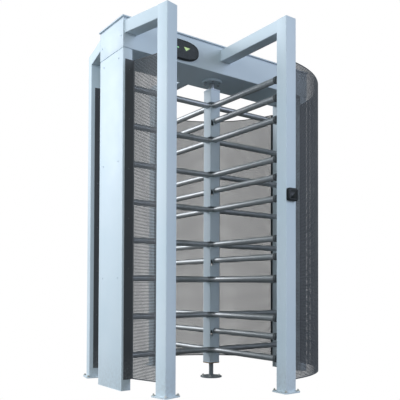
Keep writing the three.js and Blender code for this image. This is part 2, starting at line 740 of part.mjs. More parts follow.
// Mechanism plate on the header's floor, with the fixed post of the centring lever.
const plateBottom = headerFloor + GAP;
const plateTop = plateBottom + PLATE_THICKNESS;
const rollerBottom = DISC_BOTTOM + (DISC_THICKNESS - ROLLER_HEIGHT) / 2;
const rollerTop = rollerBottom + ROLLER_HEIGHT;
const leverBottom = rollerTop + RUNNING;
const leverTop = leverBottom + LEVER_THICKNESS;
const outwards = new THREE.Vector2(Math.cos(midStop), Math.sin(midStop));
const onwards = new THREE.Vector2(-outwards.y, outwards.x);
const leverAt = outwards.clone().multiplyScalar(rollerSeat).addScaledVector(onwards, LEVER_LENGTH);
const rollerLift = DISC_R + ROLLER_R + RUNNING - rollerSeat;
const leverTurn = Math.asin(rollerLift / LEVER_LENGTH); // it lifts the roller out of the valley, onto the rim

function mechanismPlate() {
  const plate = slab(PLATE_LENGTH, 2 * (channelInner - PLATE_MARGIN), plateBottom, plateTop);
  const hole = drill(HEAD_NECK_R + GAP, plateBottom - OVERRUN, plateTop + OVERRUN, TURNED_SIDES);
  const seat = leverBottom - GAP;
  const leverPost = turned(
    [
      [0, plateBottom],
      [LEVER_POST_R, plateBottom],
      [LEVER_POST_R, seat],
      [LEVER_PIVOT_R, seat],
      [LEVER_PIVOT_R, leverTop + SHAFT_END],
      [0, leverTop + SHAFT_END],
    ],
    SMALL_SIDES,
  );
  return plate.subtract(hole).add(moved(leverPost, leverAt.x, leverAt.y));
}

piece("mechanism_plate", mechanismPlate(), zincSteel);

// Rotary solenoids, whose shafts carry the pawls.
function solenoid() {
  const bottom = plateTop + GAP;
  const seat = DISC_BOTTOM - GAP;
  return turned(
    [
      [0, bottom],
      [SOLENOID_R, bottom],
      [SOLENOID_R, bottom + SOLENOID_HEIGHT],
      [SOLENOID_BOSS_R, bottom + SOLENOID_HEIGHT],
      [SOLENOID_BOSS_R, seat],
      [SOLENOID_SHAFT_R, seat],
      [SOLENOID_SHAFT_R, discTop + SHAFT_END],
      [0, discTop + SHAFT_END],
    ],
    SMALL_SIDES,
  );
}

// A pawl in its locked place, about its pivot: an arm beside the disc with a tapered tooth in the notch.
// It is drawn for the side at -X, where the rotor's axis lies at (pawlX, PAWL_LENGTH) from the pivot.
const pawlX = DISC_R + RIM_CLEARANCE + PAWL_ARM / 2;

function pawl() {
  const toothTip = pawlX - (DISC_R - NOTCH_DEPTH + TOOTH_CLEARANCE);
  const armFace = PAWL_ARM / 2;
  const tooth = [
    [armFace - PAWL_ARM, PAWL_LENGTH - TOOTH_ROOT / 2],
    [armFace, PAWL_LENGTH - TOOTH_ROOT / 2],
    [toothTip, PAWL_LENGTH - TOOTH_TIP / 2],
    [toothTip, PAWL_LENGTH + TOOTH_TIP / 2],
    [armFace, PAWL_LENGTH + TOOTH_ROOT / 2],
    [armFace - PAWL_ARM, PAWL_LENGTH + TOOTH_ROOT / 2],
  ].map(([x, y]) => new THREE.Vector2(x, y));
  const arm = block(-PAWL_ARM / 2, PAWL_ARM / 2, 0, PAWL_LENGTH, DISC_BOTTOM, discTop);
  const hub = rod(PAWL_HUB_R, DISC_BOTTOM, discTop, SMALL_SIDES);
  const bore = drill(SOLENOID_SHAFT_R + GAP, DISC_BOTTOM - OVERRUN, discTop + OVERRUN, SMALL_SIDES);
  return arm.add(prism(tooth, DISC_BOTTOM, discTop)).add(hub).subtract(bore);
}

for (const [side, name] of [[-1, "entry"], [1, "exit"]]) {
  const holder = new THREE.Group();
  holder.position.set(side * pawlX, -PAWL_LENGTH, 0);
  holder.scale.x = -side;
  turnstile.add(holder);
  piece(`${name}_solenoid`, solenoid(), zincSteel, holder);
  piece(`${name}_pawl`, pawl(), machinedSteel, holder).rotation.z = PAWL_RELEASE;
}

// Centring lever: it swings on its post and is drawn with its roller lifted onto the disc's rim, as it is
// while the rotor turns. From there it drops into a valley.
function centeringLever() {
  const arm = block(-LEVER_WIDTH / 2, LEVER_WIDTH / 2, -LEVER_LENGTH, 0, leverBottom, leverTop);
  const hub = rod(LEVER_HUB_R, leverBottom, leverTop, SMALL_SIDES);
  const eye = moved(rod(LEVER_WIDTH / 2, leverBottom, leverTop, SMALL_SIDES), 0, -LEVER_LENGTH);
  const headTop = rollerBottom - GAP;
  const pin = turned(
    [
      [0, headTop - ROLLER_HEAD],
      [ROLLER_HEAD_R, headTop - ROLLER_HEAD],
      [ROLLER_HEAD_R, headTop],
      [ROLLER_PIN_R, headTop],
      [ROLLER_PIN_R, leverBottom + LEVER_THICKNESS / 2],
      [0, leverBottom + LEVER_THICKNESS / 2],
    ],
    SMALL_SIDES,
  );
  const bore = drill(LEVER_PIVOT_R + GAP, leverBottom - OVERRUN, leverTop + OVERRUN, SMALL_SIDES);
  return arm.add(hub).add(eye).add(moved(pin, 0, -LEVER_LENGTH)).subtract(bore);
}

const lever = piece("centering_lever", centeringLever(), zincSteel);
lever.position.set(leverAt.x, leverAt.y, 0);
lever.rotation.z = midStop + leverTurn;

const rollerBore = drill(ROLLER_PIN_R + GAP, rollerBottom - OVERRUN, rollerTop + OVERRUN, SMALL_SIDES);
const roller = rod(ROLLER_R, rollerBottom, rollerTop, SMALL_SIDES).subtract(rollerBore);
const rollerOffset = new THREE.Vector2(0, -LEVER_LENGTH);
const rollerAt = rollerOffset.rotateAround(new THREE.Vector2(), lever.rotation.z).add(leverAt);
piece("centering_roller", roller, bronze).position.set(rollerAt.x, rollerAt.y, 0);

// Control box, on the header's floor.
const controlShape = roundedRectangle(CONTROL_LENGTH, CONTROL_WIDTH, 2 * CONTROL_ROUND);
piece("control_box", softPlate(controlShape, CONTROL_HEIGHT, CONTROL_ROUND / 2), blackPlastic).position.set(
  CONTROL_FROM_COLUMN - COLUMN_INNER,
  0,
  headerFloor + GAP,
);

// Indicator panel: an oval black case on the header's front, over the passage.
function ovalPoint(i) {
  const angle = (2 * Math.PI * i) / PANEL_POINTS;
  const squared = (value) => Math.sign(value) * Math.abs(value) ** (2 / PANEL_POWER);
  const x = PANEL_HALF_WIDTH * squared(Math.cos(angle));
  return new THREE.Vector2(x, PANEL_HALF_HEIGHT * squared(Math.sin(angle)));
}

const oval = new THREE.Shape(Array.from({ length: PANEL_POINTS }, (_, i) => ovalPoint(i)));
const panel = piece("indicator_panel", softPlate(oval, PANEL_THICKNESS, PANEL_ROUND), blackPlastic);
panel.position.set(
  PANEL_FROM_COLUMN - COLUMN_INNER,
  -halfDepth - GAP,
  (HEADER_UNDERSIDE + HEADER_RIM) / 2 - PANEL_DROP,
);
panel.rotation.x = Math.PI / 2;

// Card reader: a small black case on the front of the front centre post.
const readerShape = roundedRectangle(READER_WIDTH, READER_HEIGHT, READER_CORNER);
const reader = piece("card_reader", softPlate(readerShape, READER_THICKNESS, READER_ROUND), blackPlastic);
reader.position.set(0, -CENTER_POST_Y - POST_SIDE / 2 - GAP, READER_Z);
reader.rotation.x = Math.PI / 2;

export default turnstile;
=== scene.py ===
import math

import bmesh
import bpy
from mathutils import Matrix, Vector


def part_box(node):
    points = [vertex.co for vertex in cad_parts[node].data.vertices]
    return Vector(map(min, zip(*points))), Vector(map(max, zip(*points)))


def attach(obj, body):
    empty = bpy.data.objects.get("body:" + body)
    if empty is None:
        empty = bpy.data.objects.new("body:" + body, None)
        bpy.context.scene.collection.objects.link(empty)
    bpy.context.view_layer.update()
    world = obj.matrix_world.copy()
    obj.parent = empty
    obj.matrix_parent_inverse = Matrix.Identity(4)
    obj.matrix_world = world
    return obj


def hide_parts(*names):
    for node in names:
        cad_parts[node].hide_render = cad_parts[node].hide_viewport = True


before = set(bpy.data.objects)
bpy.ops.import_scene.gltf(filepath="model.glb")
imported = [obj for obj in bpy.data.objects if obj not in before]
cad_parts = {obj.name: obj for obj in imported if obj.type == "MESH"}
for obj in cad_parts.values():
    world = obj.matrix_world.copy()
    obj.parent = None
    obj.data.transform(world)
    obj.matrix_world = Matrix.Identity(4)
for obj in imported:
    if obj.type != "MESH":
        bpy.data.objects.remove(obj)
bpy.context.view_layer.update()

# Posts. Four square steel tubes carry the beams, each with a pressed cap let into its top and a floor plate
# welded round its foot. Four anchor bolts hold each down. The two side posts are turned with their beams.
POST_SIDE = 0.080
POST_WALL = 0.003
TUBE_CORNER = 0.0045
CAP_SUNK = 0.002
CAP_CROWN = 0.0012
BASE_SIDE = 0.120
BASE_THICKNESS = 0.008
BASE_CORNER = 0.012
BASE_EDGE = 0.001
ANCHOR_INSET = 0.012
ANCHOR_TURN = 40
WASHER_R = 0.0085
WASHER_HEIGHT = 0.0016
WASHER_CHAMFER = 0.0004
WASHER_SIDES = 24
NUT_R = 0.0075
NUT_HEIGHT = 0.0065
NUT_CHAMFER = 0.0009
NUT_SIDES = 6
STUD_R = 0.004
STUD_HEIGHT = 0.013
STUD_CHAMFER = 0.0008
STUD_SIDES = 16
WELD_R = 0.0026
WELD_RIPPLE = 0.0035
WELD_THICK = 1.12
WELD_THIN = 0.86
SPLAY = math.radians(12.4)
SMOOTH_ANGLE = math.radians(35)
EDGE_STEPS = 2
CORNER_STEPS = 4
PLATE_CORNER_STEPS = 5
SEAM_CORNER_STEPS = 3
FACING = 0.99
TOUCH = 1e-5
NOISE_RANGE = (0.3, 0.7)
NOISE_MIDDLE = (0.35, 0.65)
SPECK_RANGE = (0.4, 0.7)
PAINT = (0.57, 0.66, 0.71, 1)
PAINT_FADED = (0.61, 0.685, 0.73, 1)
COAT_GLOSS = 0.3
COAT_ROUGHNESS = (0.50, 0.64)
FLOOR_DUST = (0.40, 0.41, 0.41, 1)
DUST_HEIGHT = 0.22
DUST_SHARE = 0.5
ZINC_YELLOW = (0.55, 0.54, 0.47, 1)
ZINC_GREY = (0.62, 0.62, 0.60, 1)
ZINC_ROUGHNESS = (0.28, 0.45)


def lone(piece):
    """Select one piece and nothing else."""
    bpy.ops.object.select_all(action="DESELECT")
    piece.select_set(True)
    bpy.context.view_layer.objects.active = piece


def edit(piece):
    """Open a piece in edit mode with nothing selected."""
    lone(piece)
    bpy.ops.object.mode_set(mode="EDIT")
    bpy.ops.mesh.select_all(action="DESELECT")


def leave():
    """Close edit mode."""
    bpy.ops.object.mode_set(mode="OBJECT")


def leave_outward():
    """Turn all faces outwards and close edit mode."""
    bpy.ops.mesh.select_all(action="SELECT")
    bpy.ops.mesh.normals_make_consistent(inside=False)
    leave()


def extrude(x, y, z):
    """In edit mode, extrude what is selected."""
    bpy.ops.mesh.extrude_region_move(TRANSFORM_OT_translate={"value": (x, y, z)})


def pick(piece, kind, wanted):
    """In edit mode, select the edges or faces that pass the test."""
    bpy.ops.mesh.select_mode(type=kind)
    bpy.ops.mesh.select_all(action="DESELECT")
    shape = bmesh.from_edit_mesh(piece.data)
    for part in {"EDGE": shape.edges, "FACE": shape.faces}[kind]:
        if wanted(part):
            part.select_set(True)
    bmesh.update_edit_mesh(piece.data)


def upright(edge):
    """An edge that runs along Z."""
    return (edge.verts[0].co.xy - edge.verts[1].co.xy).length < TOUCH


def depth_of(edge):
    """How far an edge runs along Y."""
    return abs(edge.verts[0].co.y - edge.verts[1].co.y)


def edge_at(height):
    """A test for edges that lie level at a height."""
    return lambda edge: all(abs(vertex.co.z - height) < TOUCH for vertex in edge.verts)


def block(name, low, high):
    """A box between two corners."""
    low, high = Vector(low), Vector(high)
    bpy.ops.object.select_all(action="DESELECT")
    bpy.ops.mesh.primitive_cube_add(size=1, location=(low + high) / 2, scale=high - low)
    bpy.ops.object.transform_apply()
    piece = bpy.context.object
    piece.name = name
    return piece


def rod(name, radius, bottom, top, sides, chamfer=0.0):
    """An upright round or many-sided bar, its top edge chamfered."""
    bpy.ops.object.select_all(action="DESELECT")
    bpy.ops.mesh.primitive_cylinder_add(
        vertices=sides, radius=radius, depth=top - bottom, location=(0, 0, (bottom + top) / 2)
    )
    bpy.ops.object.transform_apply()
    piece = bpy.context.object
    piece.name = name
    if chamfer:
        rounded(piece, chamfer, EDGE_STEPS, edge_at(top))
    return piece


def rounded(piece, width, segments, wanted):
    """Round the edges that pass the test."""
    edit(piece)
    pick(piece, "EDGE", wanted)
    bpy.ops.mesh.bevel(offset=width, segments=segments, affect="EDGES")
    leave()


def copy_of(piece, name):
    """A copy of a piece, with a mesh of its own."""
    lone(piece)
    bpy.ops.object.duplicate()
    twin = bpy.context.object
    twin.name = name
    return twin


def joined(name, pieces):
    """Join pieces into one."""
    lone(pieces[0])
    for piece in pieces[1:]:
        piece.select_set(True)
    bpy.ops.object.join()
    bpy.context.object.name = name
    return bpy.context.object


def settle(piece, place, turn=0.0):
    """Turn a piece about Z, move it to its place, and keep both in its mesh."""
    lone(piece)
    piece.location = place
    piece.rotation_euler = (0, 0, turn)
    bpy.ops.object.transform_apply()
    return piece


def aimed(piece, place, facing):
    """Point a piece's Z axis along a direction, move it to its place, and keep both in its mesh."""
    lone(piece)
    piece.rotation_mode = "QUATERNION"
    piece.rotation_quaternion = Vector(facing).to_track_quat("Z", "Y")
    piece.location = place
    bpy.ops.object.transform_apply()
    return piece


def cut(piece, cutter):
    """Take the cutter's shape out of a piece."""
    lone(piece)
    saw = piece.modifiers.new("saw", "BOOLEAN")
    saw.object = cutter
    saw.operation = "DIFFERENCE"
    saw.solver = "EXACT"
    saw.use_self = True
    bpy.ops.object.modifier_apply(modifier=saw.name)
    bpy.data.objects.remove(cutter)


def bead(name, route, closed=True):
    """A weld bead along a route, rippled where the welder moved on."""
    line = bpy.data.curves.new(name, "CURVE")
    line.dimensions = "3D"
    line.bevel_depth = WELD_R
    line.bevel_resolution = 1
    stretches = zip(route, route[1:] + route[:1]) if closed else zip(route, route[1:])
    points = []
    for start, end in stretches:
        steps = max(1, round((end - start).length / WELD_RIPPLE))
        points += [start.lerp(end, step / steps) for step in range(steps)]
    spline = line.splines.new("POLY")
    spline.points.add(len(points) - 1)
    for i, (point, place) in enumerate(zip(spline.points, points)):
        point.co = (*place, 1)
        point.radius = WELD_THICK if i % 2 else WELD_THIN
    spline.use_cyclic_u = closed
    made = bpy.data.objects.new(name, line)
    bpy.context.collection.objects.link(made)
    lone(made)
    bpy.ops.object.convert(target="MESH")
    return bpy.context.object


def square_route(side, corner, height):
    """A square with rounded corners, level at a height."""
    reach = side / 2 - corner
    centers = [(reach, reach), (-reach, reach), (-reach, -reach), (reach, -reach)]
    route = []
    for quarter, (x, y) in enumerate(centers):
        for step in range(SEAM_CORNER_STEPS + 1):
            angle = math.pi / 2 * (quarter + step / SEAM_CORNER_STEPS)
            route.append(Vector((x + corner * math.cos(angle), y + corner * math.sin(angle), height)))
    return route


def finish_named(name, metallic=0.0, roughness=0.5):
    """A material with a Principled shader."""
    made = bpy.data.materials.new(name)
    made.use_nodes = True
    shader = made.node_tree.nodes["Principled BSDF"]
    shader.inputs["Metallic"].default_value = metallic
    shader.inputs["Roughness"].default_value = roughness
    return made


def step(material, kind, inputs, **settings):
    """One node of a material or world, its inputs set or linked."""
    tree = material.node_tree
    made = tree.nodes.new(kind)
    for name, value in settings.items():
        setattr(made, name, value)
    for name, value in inputs.items():
        if isinstance(value, bpy.types.NodeSocket):
            tree.links.new(value, made.inputs[name])
        else:
            made.inputs[name].default_value = value
    return made


def place_in(material):
    """Where a point lies on the object, in metres."""
    return step(material, "ShaderNodeTexCoord", {}).outputs["Object"]


def noise(material, place, scale, detail=2.0, rough=0.5):
    """A cloudy pattern between 0 and 1."""
    inputs = {"Vector": place, "Scale": scale, "Detail": detail, "Roughness": rough}
    return step(material, "ShaderNodeTexNoise", inputs).outputs["Fac"]


def spread(material, value, low, high, new_low, new_high):
    """Stretch a value from one range to another, and stop at its ends."""
    inputs = {"Value": value, "From Min": low, "From Max": high, "To Min": new_low, "To Max": new_high}
    return step(material, "ShaderNodeMapRange", inputs).outputs["Result"]


def blended(material, share, first, second):
    """A mix of two colours."""
    inputs = {"Fac": share, "Color1": first, "Color2": second}
    return step(material, "ShaderNodeMixRGB", inputs).outputs["Color"]


def ripples(material, height, strength, distance):
    """Bumps from a height."""
    inputs = {"Height": height, "Strength": strength, "Distance": distance}
    return step(material, "ShaderNodeBump", inputs).outputs["Normal"]


def feed(material, name, value):
    """Link a value to the shader's socket of that name."""
    shader = material.node_tree.nodes["Principled BSDF"]
    material.node_tree.links.new(value, shader.inputs[name])


def powder_coat(name, color, faded):
    """Powder coat: a fine orange peel, a slow drift of colour and gloss, and dust near the floor."""
    coat = finish_named(name)
    coat.node_tree.nodes["Principled BSDF"].inputs["Specular IOR Level"].default_value = COAT_GLOSS
    place = place_in(coat)
    drift = spread(coat, noise(coat, place, scale=2.3, detail=4), *NOISE_MIDDLE, 0, 1)
    height = step(coat, "ShaderNodeSeparateXYZ", {"Vector": place}).outputs["Z"]
    dusty = spread(coat, height, 0, DUST_HEIGHT, DUST_SHARE, 0)
    specks = spread(coat, noise(coat, place, scale=60, detail=5, rough=0.7), *SPECK_RANGE, 0, 1)
    dust = step(coat, "ShaderNodeMath", {0: dusty, 1: specks}, operation="MULTIPLY").outputs[0]
    clean = blended(coat, drift, color, faded)
    feed(coat, "Base Color", blended(coat, dust, clean, FLOOR_DUST))
    gloss = noise(coat, place, scale=9, detail=5)
    feed(coat, "Roughness", spread(coat, gloss, *NOISE_RANGE, *COAT_ROUGHNESS))
    peel = noise(coat, place, scale=620, detail=1)
    feed(coat, "Normal", ripples(coat, peel, strength=0.12, distance=0.0004))
    return coat


def zinc_coat(name, metallic, color, other, roughness, cloud, grain, bumps, relief):
    """Zinc on steel: a cloud of two greys, a grain in its gloss, and small bumps."""
    made = finish_named(name, metallic=metallic)
    place = place_in(made)
    share = spread(made, noise(made, place, *cloud), *NOISE_MIDDLE, 0, 1)
    feed(made, "Base Color", blended(made, share, color, other))
    feed(made, "Roughness", spread(made, noise(made, place, *grain), *NOISE_RANGE, *roughness))
    feed(made, "Normal", ripples(made, noise(made, place, *bumps), *relief))
    return made


def fit(piece, material, body, slot, *nodes):
    """Dress a finished piece, hang it from its body's empty, and hide the solids that it stands for."""
    lone(piece)
    bpy.ops.object.shade_smooth_by_angle(angle=SMOOTH_ANGLE)
    piece.data.materials.clear()
    piece.data.materials.append(material)
    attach(piece, body)
    if nodes:
        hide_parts(*nodes)


frame_paint = powder_coat("frame_paint", PAINT, PAINT_FADED)

zinc_finish = zinc_coat(
    "zinc_plate", 0.85, ZINC_YELLOW, ZINC_GREY, ZINC_ROUGHNESS,
    cloud=(45, 4), grain=(160, 3), bumps=(900,), relief=(0.1, 0.0002),
)


def anchor_bolt(name, x, y, standing):
    """A washer, a nut and the end of its stud, standing at a height."""
    washer_top = standing + WASHER_HEIGHT
    nut_top = washer_top + NUT_HEIGHT
    washer = rod(name, WASHER_R, standing, washer_top, WASHER_SIDES, WASHER_CHAMFER)
    nut = rod("nut", NUT_R, washer_top, nut_top, NUT_SIDES, NUT_CHAMFER)
    stud = rod("stud", STUD_R, nut_top, standing + STUD_HEIGHT, STUD_SIDES, STUD_CHAMFER)
    return settle(joined(name, [washer, nut, stud]), (x, y, 0), x * ANCHOR_TURN)


def post(name, top):
    """A square tube on its floor plate, about the Z axis."""
    half = POST_SIDE / 2
    tube = block(name, (-half, -half, BASE_THICKNESS), (half, half, top))
    rounded(tube, TUBE_CORNER, CORNER_STEPS, upright)
    edit(tube)
    pick(tube, "FACE", lambda face: face.normal.z > FACING)
    bpy.ops.mesh.inset(thickness=POST_WALL)
    extrude(0, 0, -CAP_SUNK)
    bpy.ops.mesh.inset(thickness=POST_WALL, depth=CAP_CROWN)
    leave()
    reach = BASE_SIDE / 2
    plate = block("plate", (-reach, -reach, 0), (reach, reach, BASE_THICKNESS))
    rounded(plate, BASE_CORNER, PLATE_CORNER_STEPS, upright)
    rounded(plate, BASE_EDGE, EDGE_STEPS, edge_at(BASE_THICKNESS))
    seam = bead("seam", square_route(POST_SIDE, TUBE_CORNER, BASE_THICKNESS))
    return joined(name, [tube, plate, seam])


def placed_post(name, turn):
    """A post with its anchor bolts, turned about its own middle."""
    low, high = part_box(name)
    middle = (low + high) / 2
    place = (middle.x, middle.y, 0)
    piece = settle(post(name + "_tube", high.z), place, turn)
    fit(piece, frame_paint, "frame", "frame_paint", name)
    reach = BASE_SIDE / 2 - ANCHOR_INSET
    corners = [(x, y) for x in (-reach, reach) for y in (-reach, reach)]
    bolts = [anchor_bolt(f"bolt_{i}", x, y, BASE_THICKNESS) for i, (x, y) in enumerate(corners)]
    anchors = settle(joined(name + "_anchors", bolts), place, turn)
    fit(anchors, zinc_finish, "frame", "zinc_steel")


placed_post("front_left_post", SPLAY)
placed_post("back_left_post", -SPLAY)
placed_post("front_center_post", 0)
placed_post("back_center_post", 0)

# Beams. Square tube, flush with the posts' tops, runs from each post to the header's face and is welded at
# both ends. The side beams splay outwards, so they are mitred where they meet the header.
BEAM_OVERLAP = 0.06


def mirrored(piece, name):
    """A copy of a piece on the other side of the header, its faces still pointing out."""
    twin = copy_of(piece, name)
    twin.scale.y = -1
    bpy.ops.object.transform_apply()
    edit(twin)
    leave_outward()
    return twin


def ring_at(piece, y):
    """The corners of a piece's end face in the plane of y, in order round it."""
    face = max(piece.data.polygons, key=lambda polygon: polygon.center.y)
    corners = [piece.data.vertices[i].co.copy() for i in face.vertices]
    return [corner for corner in corners if abs(corner.y - y) < TOUCH]


def beam(node, post_node, turn):
    """A front beam, from the back of its post to the plane of the header's face."""
    bottom, top = (corner.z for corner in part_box(node))
    header_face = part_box(node)[1].y
    low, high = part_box(post_node)
    middle = (low + high) / 2
    half = POST_SIDE / 2
    length = middle.y - header_face
    start = half - TUBE_CORNER
    end = BEAM_OVERLAP - length / math.cos(turn)
    tube = block(node + "_tube", (-half, start, bottom), (half, end, top))
    rounded(tube, TUBE_CORNER, CORNER_STEPS, lambda edge: depth_of(edge) > half)
    settle(tube, (middle.x, middle.y, 0), turn)
    edit(tube)
    bpy.ops.mesh.select_all(action="SELECT")
    bpy.ops.mesh.bisect(
        plane_co=(0, header_face, 0), plane_no=(0, 1, 0), use_fill=True, clear_outer=True
    )
    leave()
    outline = ring_at(tube, header_face)
    return joined(node + "_tube", [tube, bead("seam", outline)])


for place, turn in (("left", SPLAY), ("center", 0)):
    tube = beam(f"front_{place}_beam", f"front_{place}_post", turn)
    twin = mirrored(tube, f"back_{place}_beam_tube")
    fit(tube, frame_paint, "frame", "frame_paint", f"front_{place}_beam")
    fit(twin, frame_paint, "frame", "frame_paint", f"back_{place}_beam")

# Header. A channel is folded from 3 mm steel, and a plate is let into each end and held by two screws. The
# rotor's head and the cables pass through holes in its floor.
FOLD_R = 0.004
HEADER_WALL = 0.003
NECK_HOLE_R = 0.0355
CABLE_HOLE_R = 0.022
END_SCREW_Y = 0.122
END_SCREW_Z = 2.095
HOLE_SIDES = 48
SCREW_R = 0.0052
SCREW_HEIGHT = 0.0026
SCREW_ROUND = 0.0016
SCREW_SIDES = 20
SCREW_ROUND_STEPS = 3
SOCKET_R = 0.0022
SOCKET_DEPTH = 0.0012


def screw(name, place, facing, radius=SCREW_R):
    """A button-head screw with a socket, its head out along a direction."""
    size = radius / SCREW_R
    head = rod(name, radius, 0, SCREW_HEIGHT * size, SCREW_SIDES)
    rounded(head, SCREW_ROUND * size, SCREW_ROUND_STEPS, edge_at(SCREW_HEIGHT * size))
    edit(head)
    pick(head, "FACE", lambda face: face.normal.z > FACING)
    bpy.ops.mesh.inset(thickness=radius - (SCREW_ROUND + SOCKET_R) * size)
    extrude(0, 0, -SOCKET_DEPTH * size)
    leave()
    return aimed(head, place, facing)


def header_channel():
    """The folded channel, open above, with its holes for the rotor's head and the cables."""
    low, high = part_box("header_channel")
    shell = block("header_channel_fold", low, high)
    rounded(shell, FOLD_R, CORNER_STEPS, lambda edge: edge_at(low.z)(edge) and depth_of(edge) < TOUCH)
    inner_low = (2 * low.x, low.y + HEADER_WALL, low.z + HEADER_WALL)
    cut(shell, block("hollow", inner_low, (2 * high.x, high.y - HEADER_WALL, 2 * high.z)))
    holes = [(0, NECK_HOLE_R)]
    for side in ("left", "right"):
        start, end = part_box(side + "_column")
        holes.append(((start.x + end.x) / 2, CABLE_HOLE_R))
    for x, radius in holes:
        drill = rod("hole", radius, low.z - HEADER_WALL, low.z + 2 * HEADER_WALL, HOLE_SIDES)
        cut(shell, settle(drill, (x, 0, 0)))
    return shell


fit(header_channel(), frame_paint, "frame", "frame_paint", "header_channel")
for side, out in (("left", -1), ("right", 1)):
    low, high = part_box(f"header_{side}_end")
    plate = block(f"header_{side}_end_plate", low, high)
    rounded(plate, BASE_EDGE, EDGE_STEPS, lambda edge: True)
    fit(plate, frame_paint, "frame", "frame_paint", f"header_{side}_end")
    face = high.x if out > 0 else low.x
    screws = [screw(f"head_{y}", (face, y, END_SCREW_Z), (out, 0, 0)) for y in (-END_SCREW_Y, END_SCREW_Y)]
    fit(joined(f"header_{side}_end_screws", screws), frame_paint, "frame", "frame_paint")

# Lid. A flat steel plate closes the header. It stands on a strip set back under its edge, which leaves the
# dark line that is seen round the header, and two rows of screws hold it down.
LID_EDGE = 0.0015
LID_THICKNESS = 0.008
LID_STRIP_INSET = 0.0095
LID_RIM_INSET = 0.022
LID_SCREW_INSET = 0.035
LID_SCREWS = 5
LID_SCREW_SUNK_SHARE = 0.9
# The lid's paint is the frame's paint made darker: painted shade on the lid's edge and on the strip under
# it.
LID_SHADED_PAINT = (0.50, 0.58, 0.64, 1)
LID_SHADED_FADED = (0.54, 0.61, 0.66, 1)

lid_paint = powder_coat("lid_paint", LID_SHADED_PAINT, LID_SHADED_FADED)


def inset_slab(name, low, high, inset, bottom, top):
    """A slab between two heights, set back from a box's sides."""
    return block(name, (low.x + inset, low.y + inset, bottom), (high.x - inset, high.y - inset, top))


def lid():
    """The lid's plate, the strip that it stands on, and the rim that reaches into the channel."""
    low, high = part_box("header_lid")
    rim_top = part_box("header_channel")[1].z
    plate_bottom = high.z - LID_THICKNESS
    plate = inset_slab("header_lid_plate", low, high, 0, plate_bottom, high.z)
    rounded(plate, LID_THICKNESS / 2, CORNER_STEPS, upright)
    rounded(plate, LID_EDGE, EDGE_STEPS, edge_at(high.z))
    strip = inset_slab("strip", low, high, LID_STRIP_INSET, rim_top + TOUCH, plate_bottom)
    rim = inset_slab("rim", low, high, LID_RIM_INSET, low.z, rim_top)
    return joined("header_lid_plate", [plate, strip, rim])


fit(lid(), lid_paint, "frame", "lid_paint", "header_lid")
low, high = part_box("header_lid")
reach = high.x - LID_SCREW_INSET
lengthwise = [-reach + 2 * reach * i / (LID_SCREWS - 1) for i in range(LID_SCREWS)]
head_bottom = high.z - SCREW_HEIGHT * LID_SCREW_SUNK_SHARE
heads = []
for i, (x, y) in enumerate((x, y) for x in lengthwise for y in (low.y, high.y)):
    inside = y - math.copysign(LID_SCREW_INSET, y)
    heads.append(screw(f"lid_head_{i}", (x, inside, head_bottom), (0, 0, 1)))
fit(joined("header_lid_screws", heads), zinc_finish, "frame", "zinc_steel")

# Columns. Each is a tall box folded from steel sheet, with a cover on its outer side that pairs of screws
# hold. It stands on the floor under one end of the header and takes the cables up.
COLUMN_FOLD_R = 0.005
COVER_MARGIN = 0.0015
COVER_SCREW_Y = 0.096
COVER_SCREW_HEIGHTS = (0.660, 1.351, 1.968)
TOP_GROOVE = 0.0035
GROOVE_DEPTH = 0.004


def column(side, out):
    """A column's folded shell, with the seam round its cover, and the cover's screws."""
    low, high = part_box(side + "_column")
    shell_top = high.z - TOP_GROOVE
    shell = block(f"{side}_column_fold", low, (high.x, high.y, shell_top))
    rounded(shell, COLUMN_FOLD_R, CORNER_STEPS, upright)
    rounded(shell, BASE_EDGE, EDGE_STEPS, edge_at(shell_top))
    edit(shell)
    pick(shell, "FACE", lambda face: face.normal.z > FACING)
    bpy.ops.mesh.inset(thickness=GROOVE_DEPTH)
    extrude(0, 0, TOP_GROOVE)
    pick(shell, "FACE", lambda face: face.normal.x * out > FACING)
    bpy.ops.mesh.inset(thickness=COVER_MARGIN)
    bpy.ops.mesh.inset(thickness=COVER_MARGIN, depth=-COVER_MARGIN / 2)
    bpy.ops.mesh.inset(thickness=COVER_MARGIN, depth=COVER_MARGIN / 2)
    leave()
    face = high.x if out > 0 else low.x
    heads = []
    for z in COVER_SCREW_HEIGHTS:
        for y in (-COVER_SCREW_Y, COVER_SCREW_Y):
            heads.append(screw(f"cover_head_{z}_{y}", (face, y, z), (out, 0, 0)))
    return shell, joined(f"{side}_column_screws", heads)


for side, out in (("left", -1), ("right", 1)):
    shell, heads = column(side, out)
    fit(shell, frame_paint, "frame", "frame_paint", side + "_column")
    fit(heads, frame_paint, "frame", "frame_paint")

# Guide sheets. Thin perforated steel sheet, dark coated, is bent round the rotor's path: on the right from
# the column to the centre post, on the left from the column to the side post. Screws hold its flanges.
SHEET_GAUGE = 0.0012
SHEET_GAP = 0.0003
SHEET_R = 0.714
SHEET_BEND_R = 0.0035
BEND_STEPS = 4
HOLE_SIDE = 0.0047
HOLE_PITCH = 0.00848
HOLE_ROWS = 221
RIGHT_COLUMNS = 108
LEFT_COLUMNS = 29
SHEET_PIECES = 4
LEFT_ARC_END = math.radians(16.78)
LEFT_RUN = 0.2037
LEFT_FLANGE = 0.054
SHEET_SCREWS = 7
SHEET_SCREW_MARGIN = 0.06
SHEET_SCREW_R = 0.0042
SHEET_COAT = (0.074, 0.078, 0.084, 1)
SHEET_FADED = (0.086, 0.090, 0.095, 1)
BLACK_ZINC = (0.16, 0.17, 0.18, 1)

sheet_coat = powder_coat("sheet_coat", SHEET_COAT, SHEET_FADED)

black_zinc = finish_named("dark_screws", metallic=0.7, roughness=0.42)
black_zinc.node_tree.nodes["Principled BSDF"].inputs["Base Color"].default_value = BLACK_ZINC
black_zinc_grain = noise(black_zinc, place_in(black_zinc), scale=1200)
feed(black_zinc, "Normal", ripples(black_zinc, black_zinc_grain, strength=0.15, distance=0.0002))


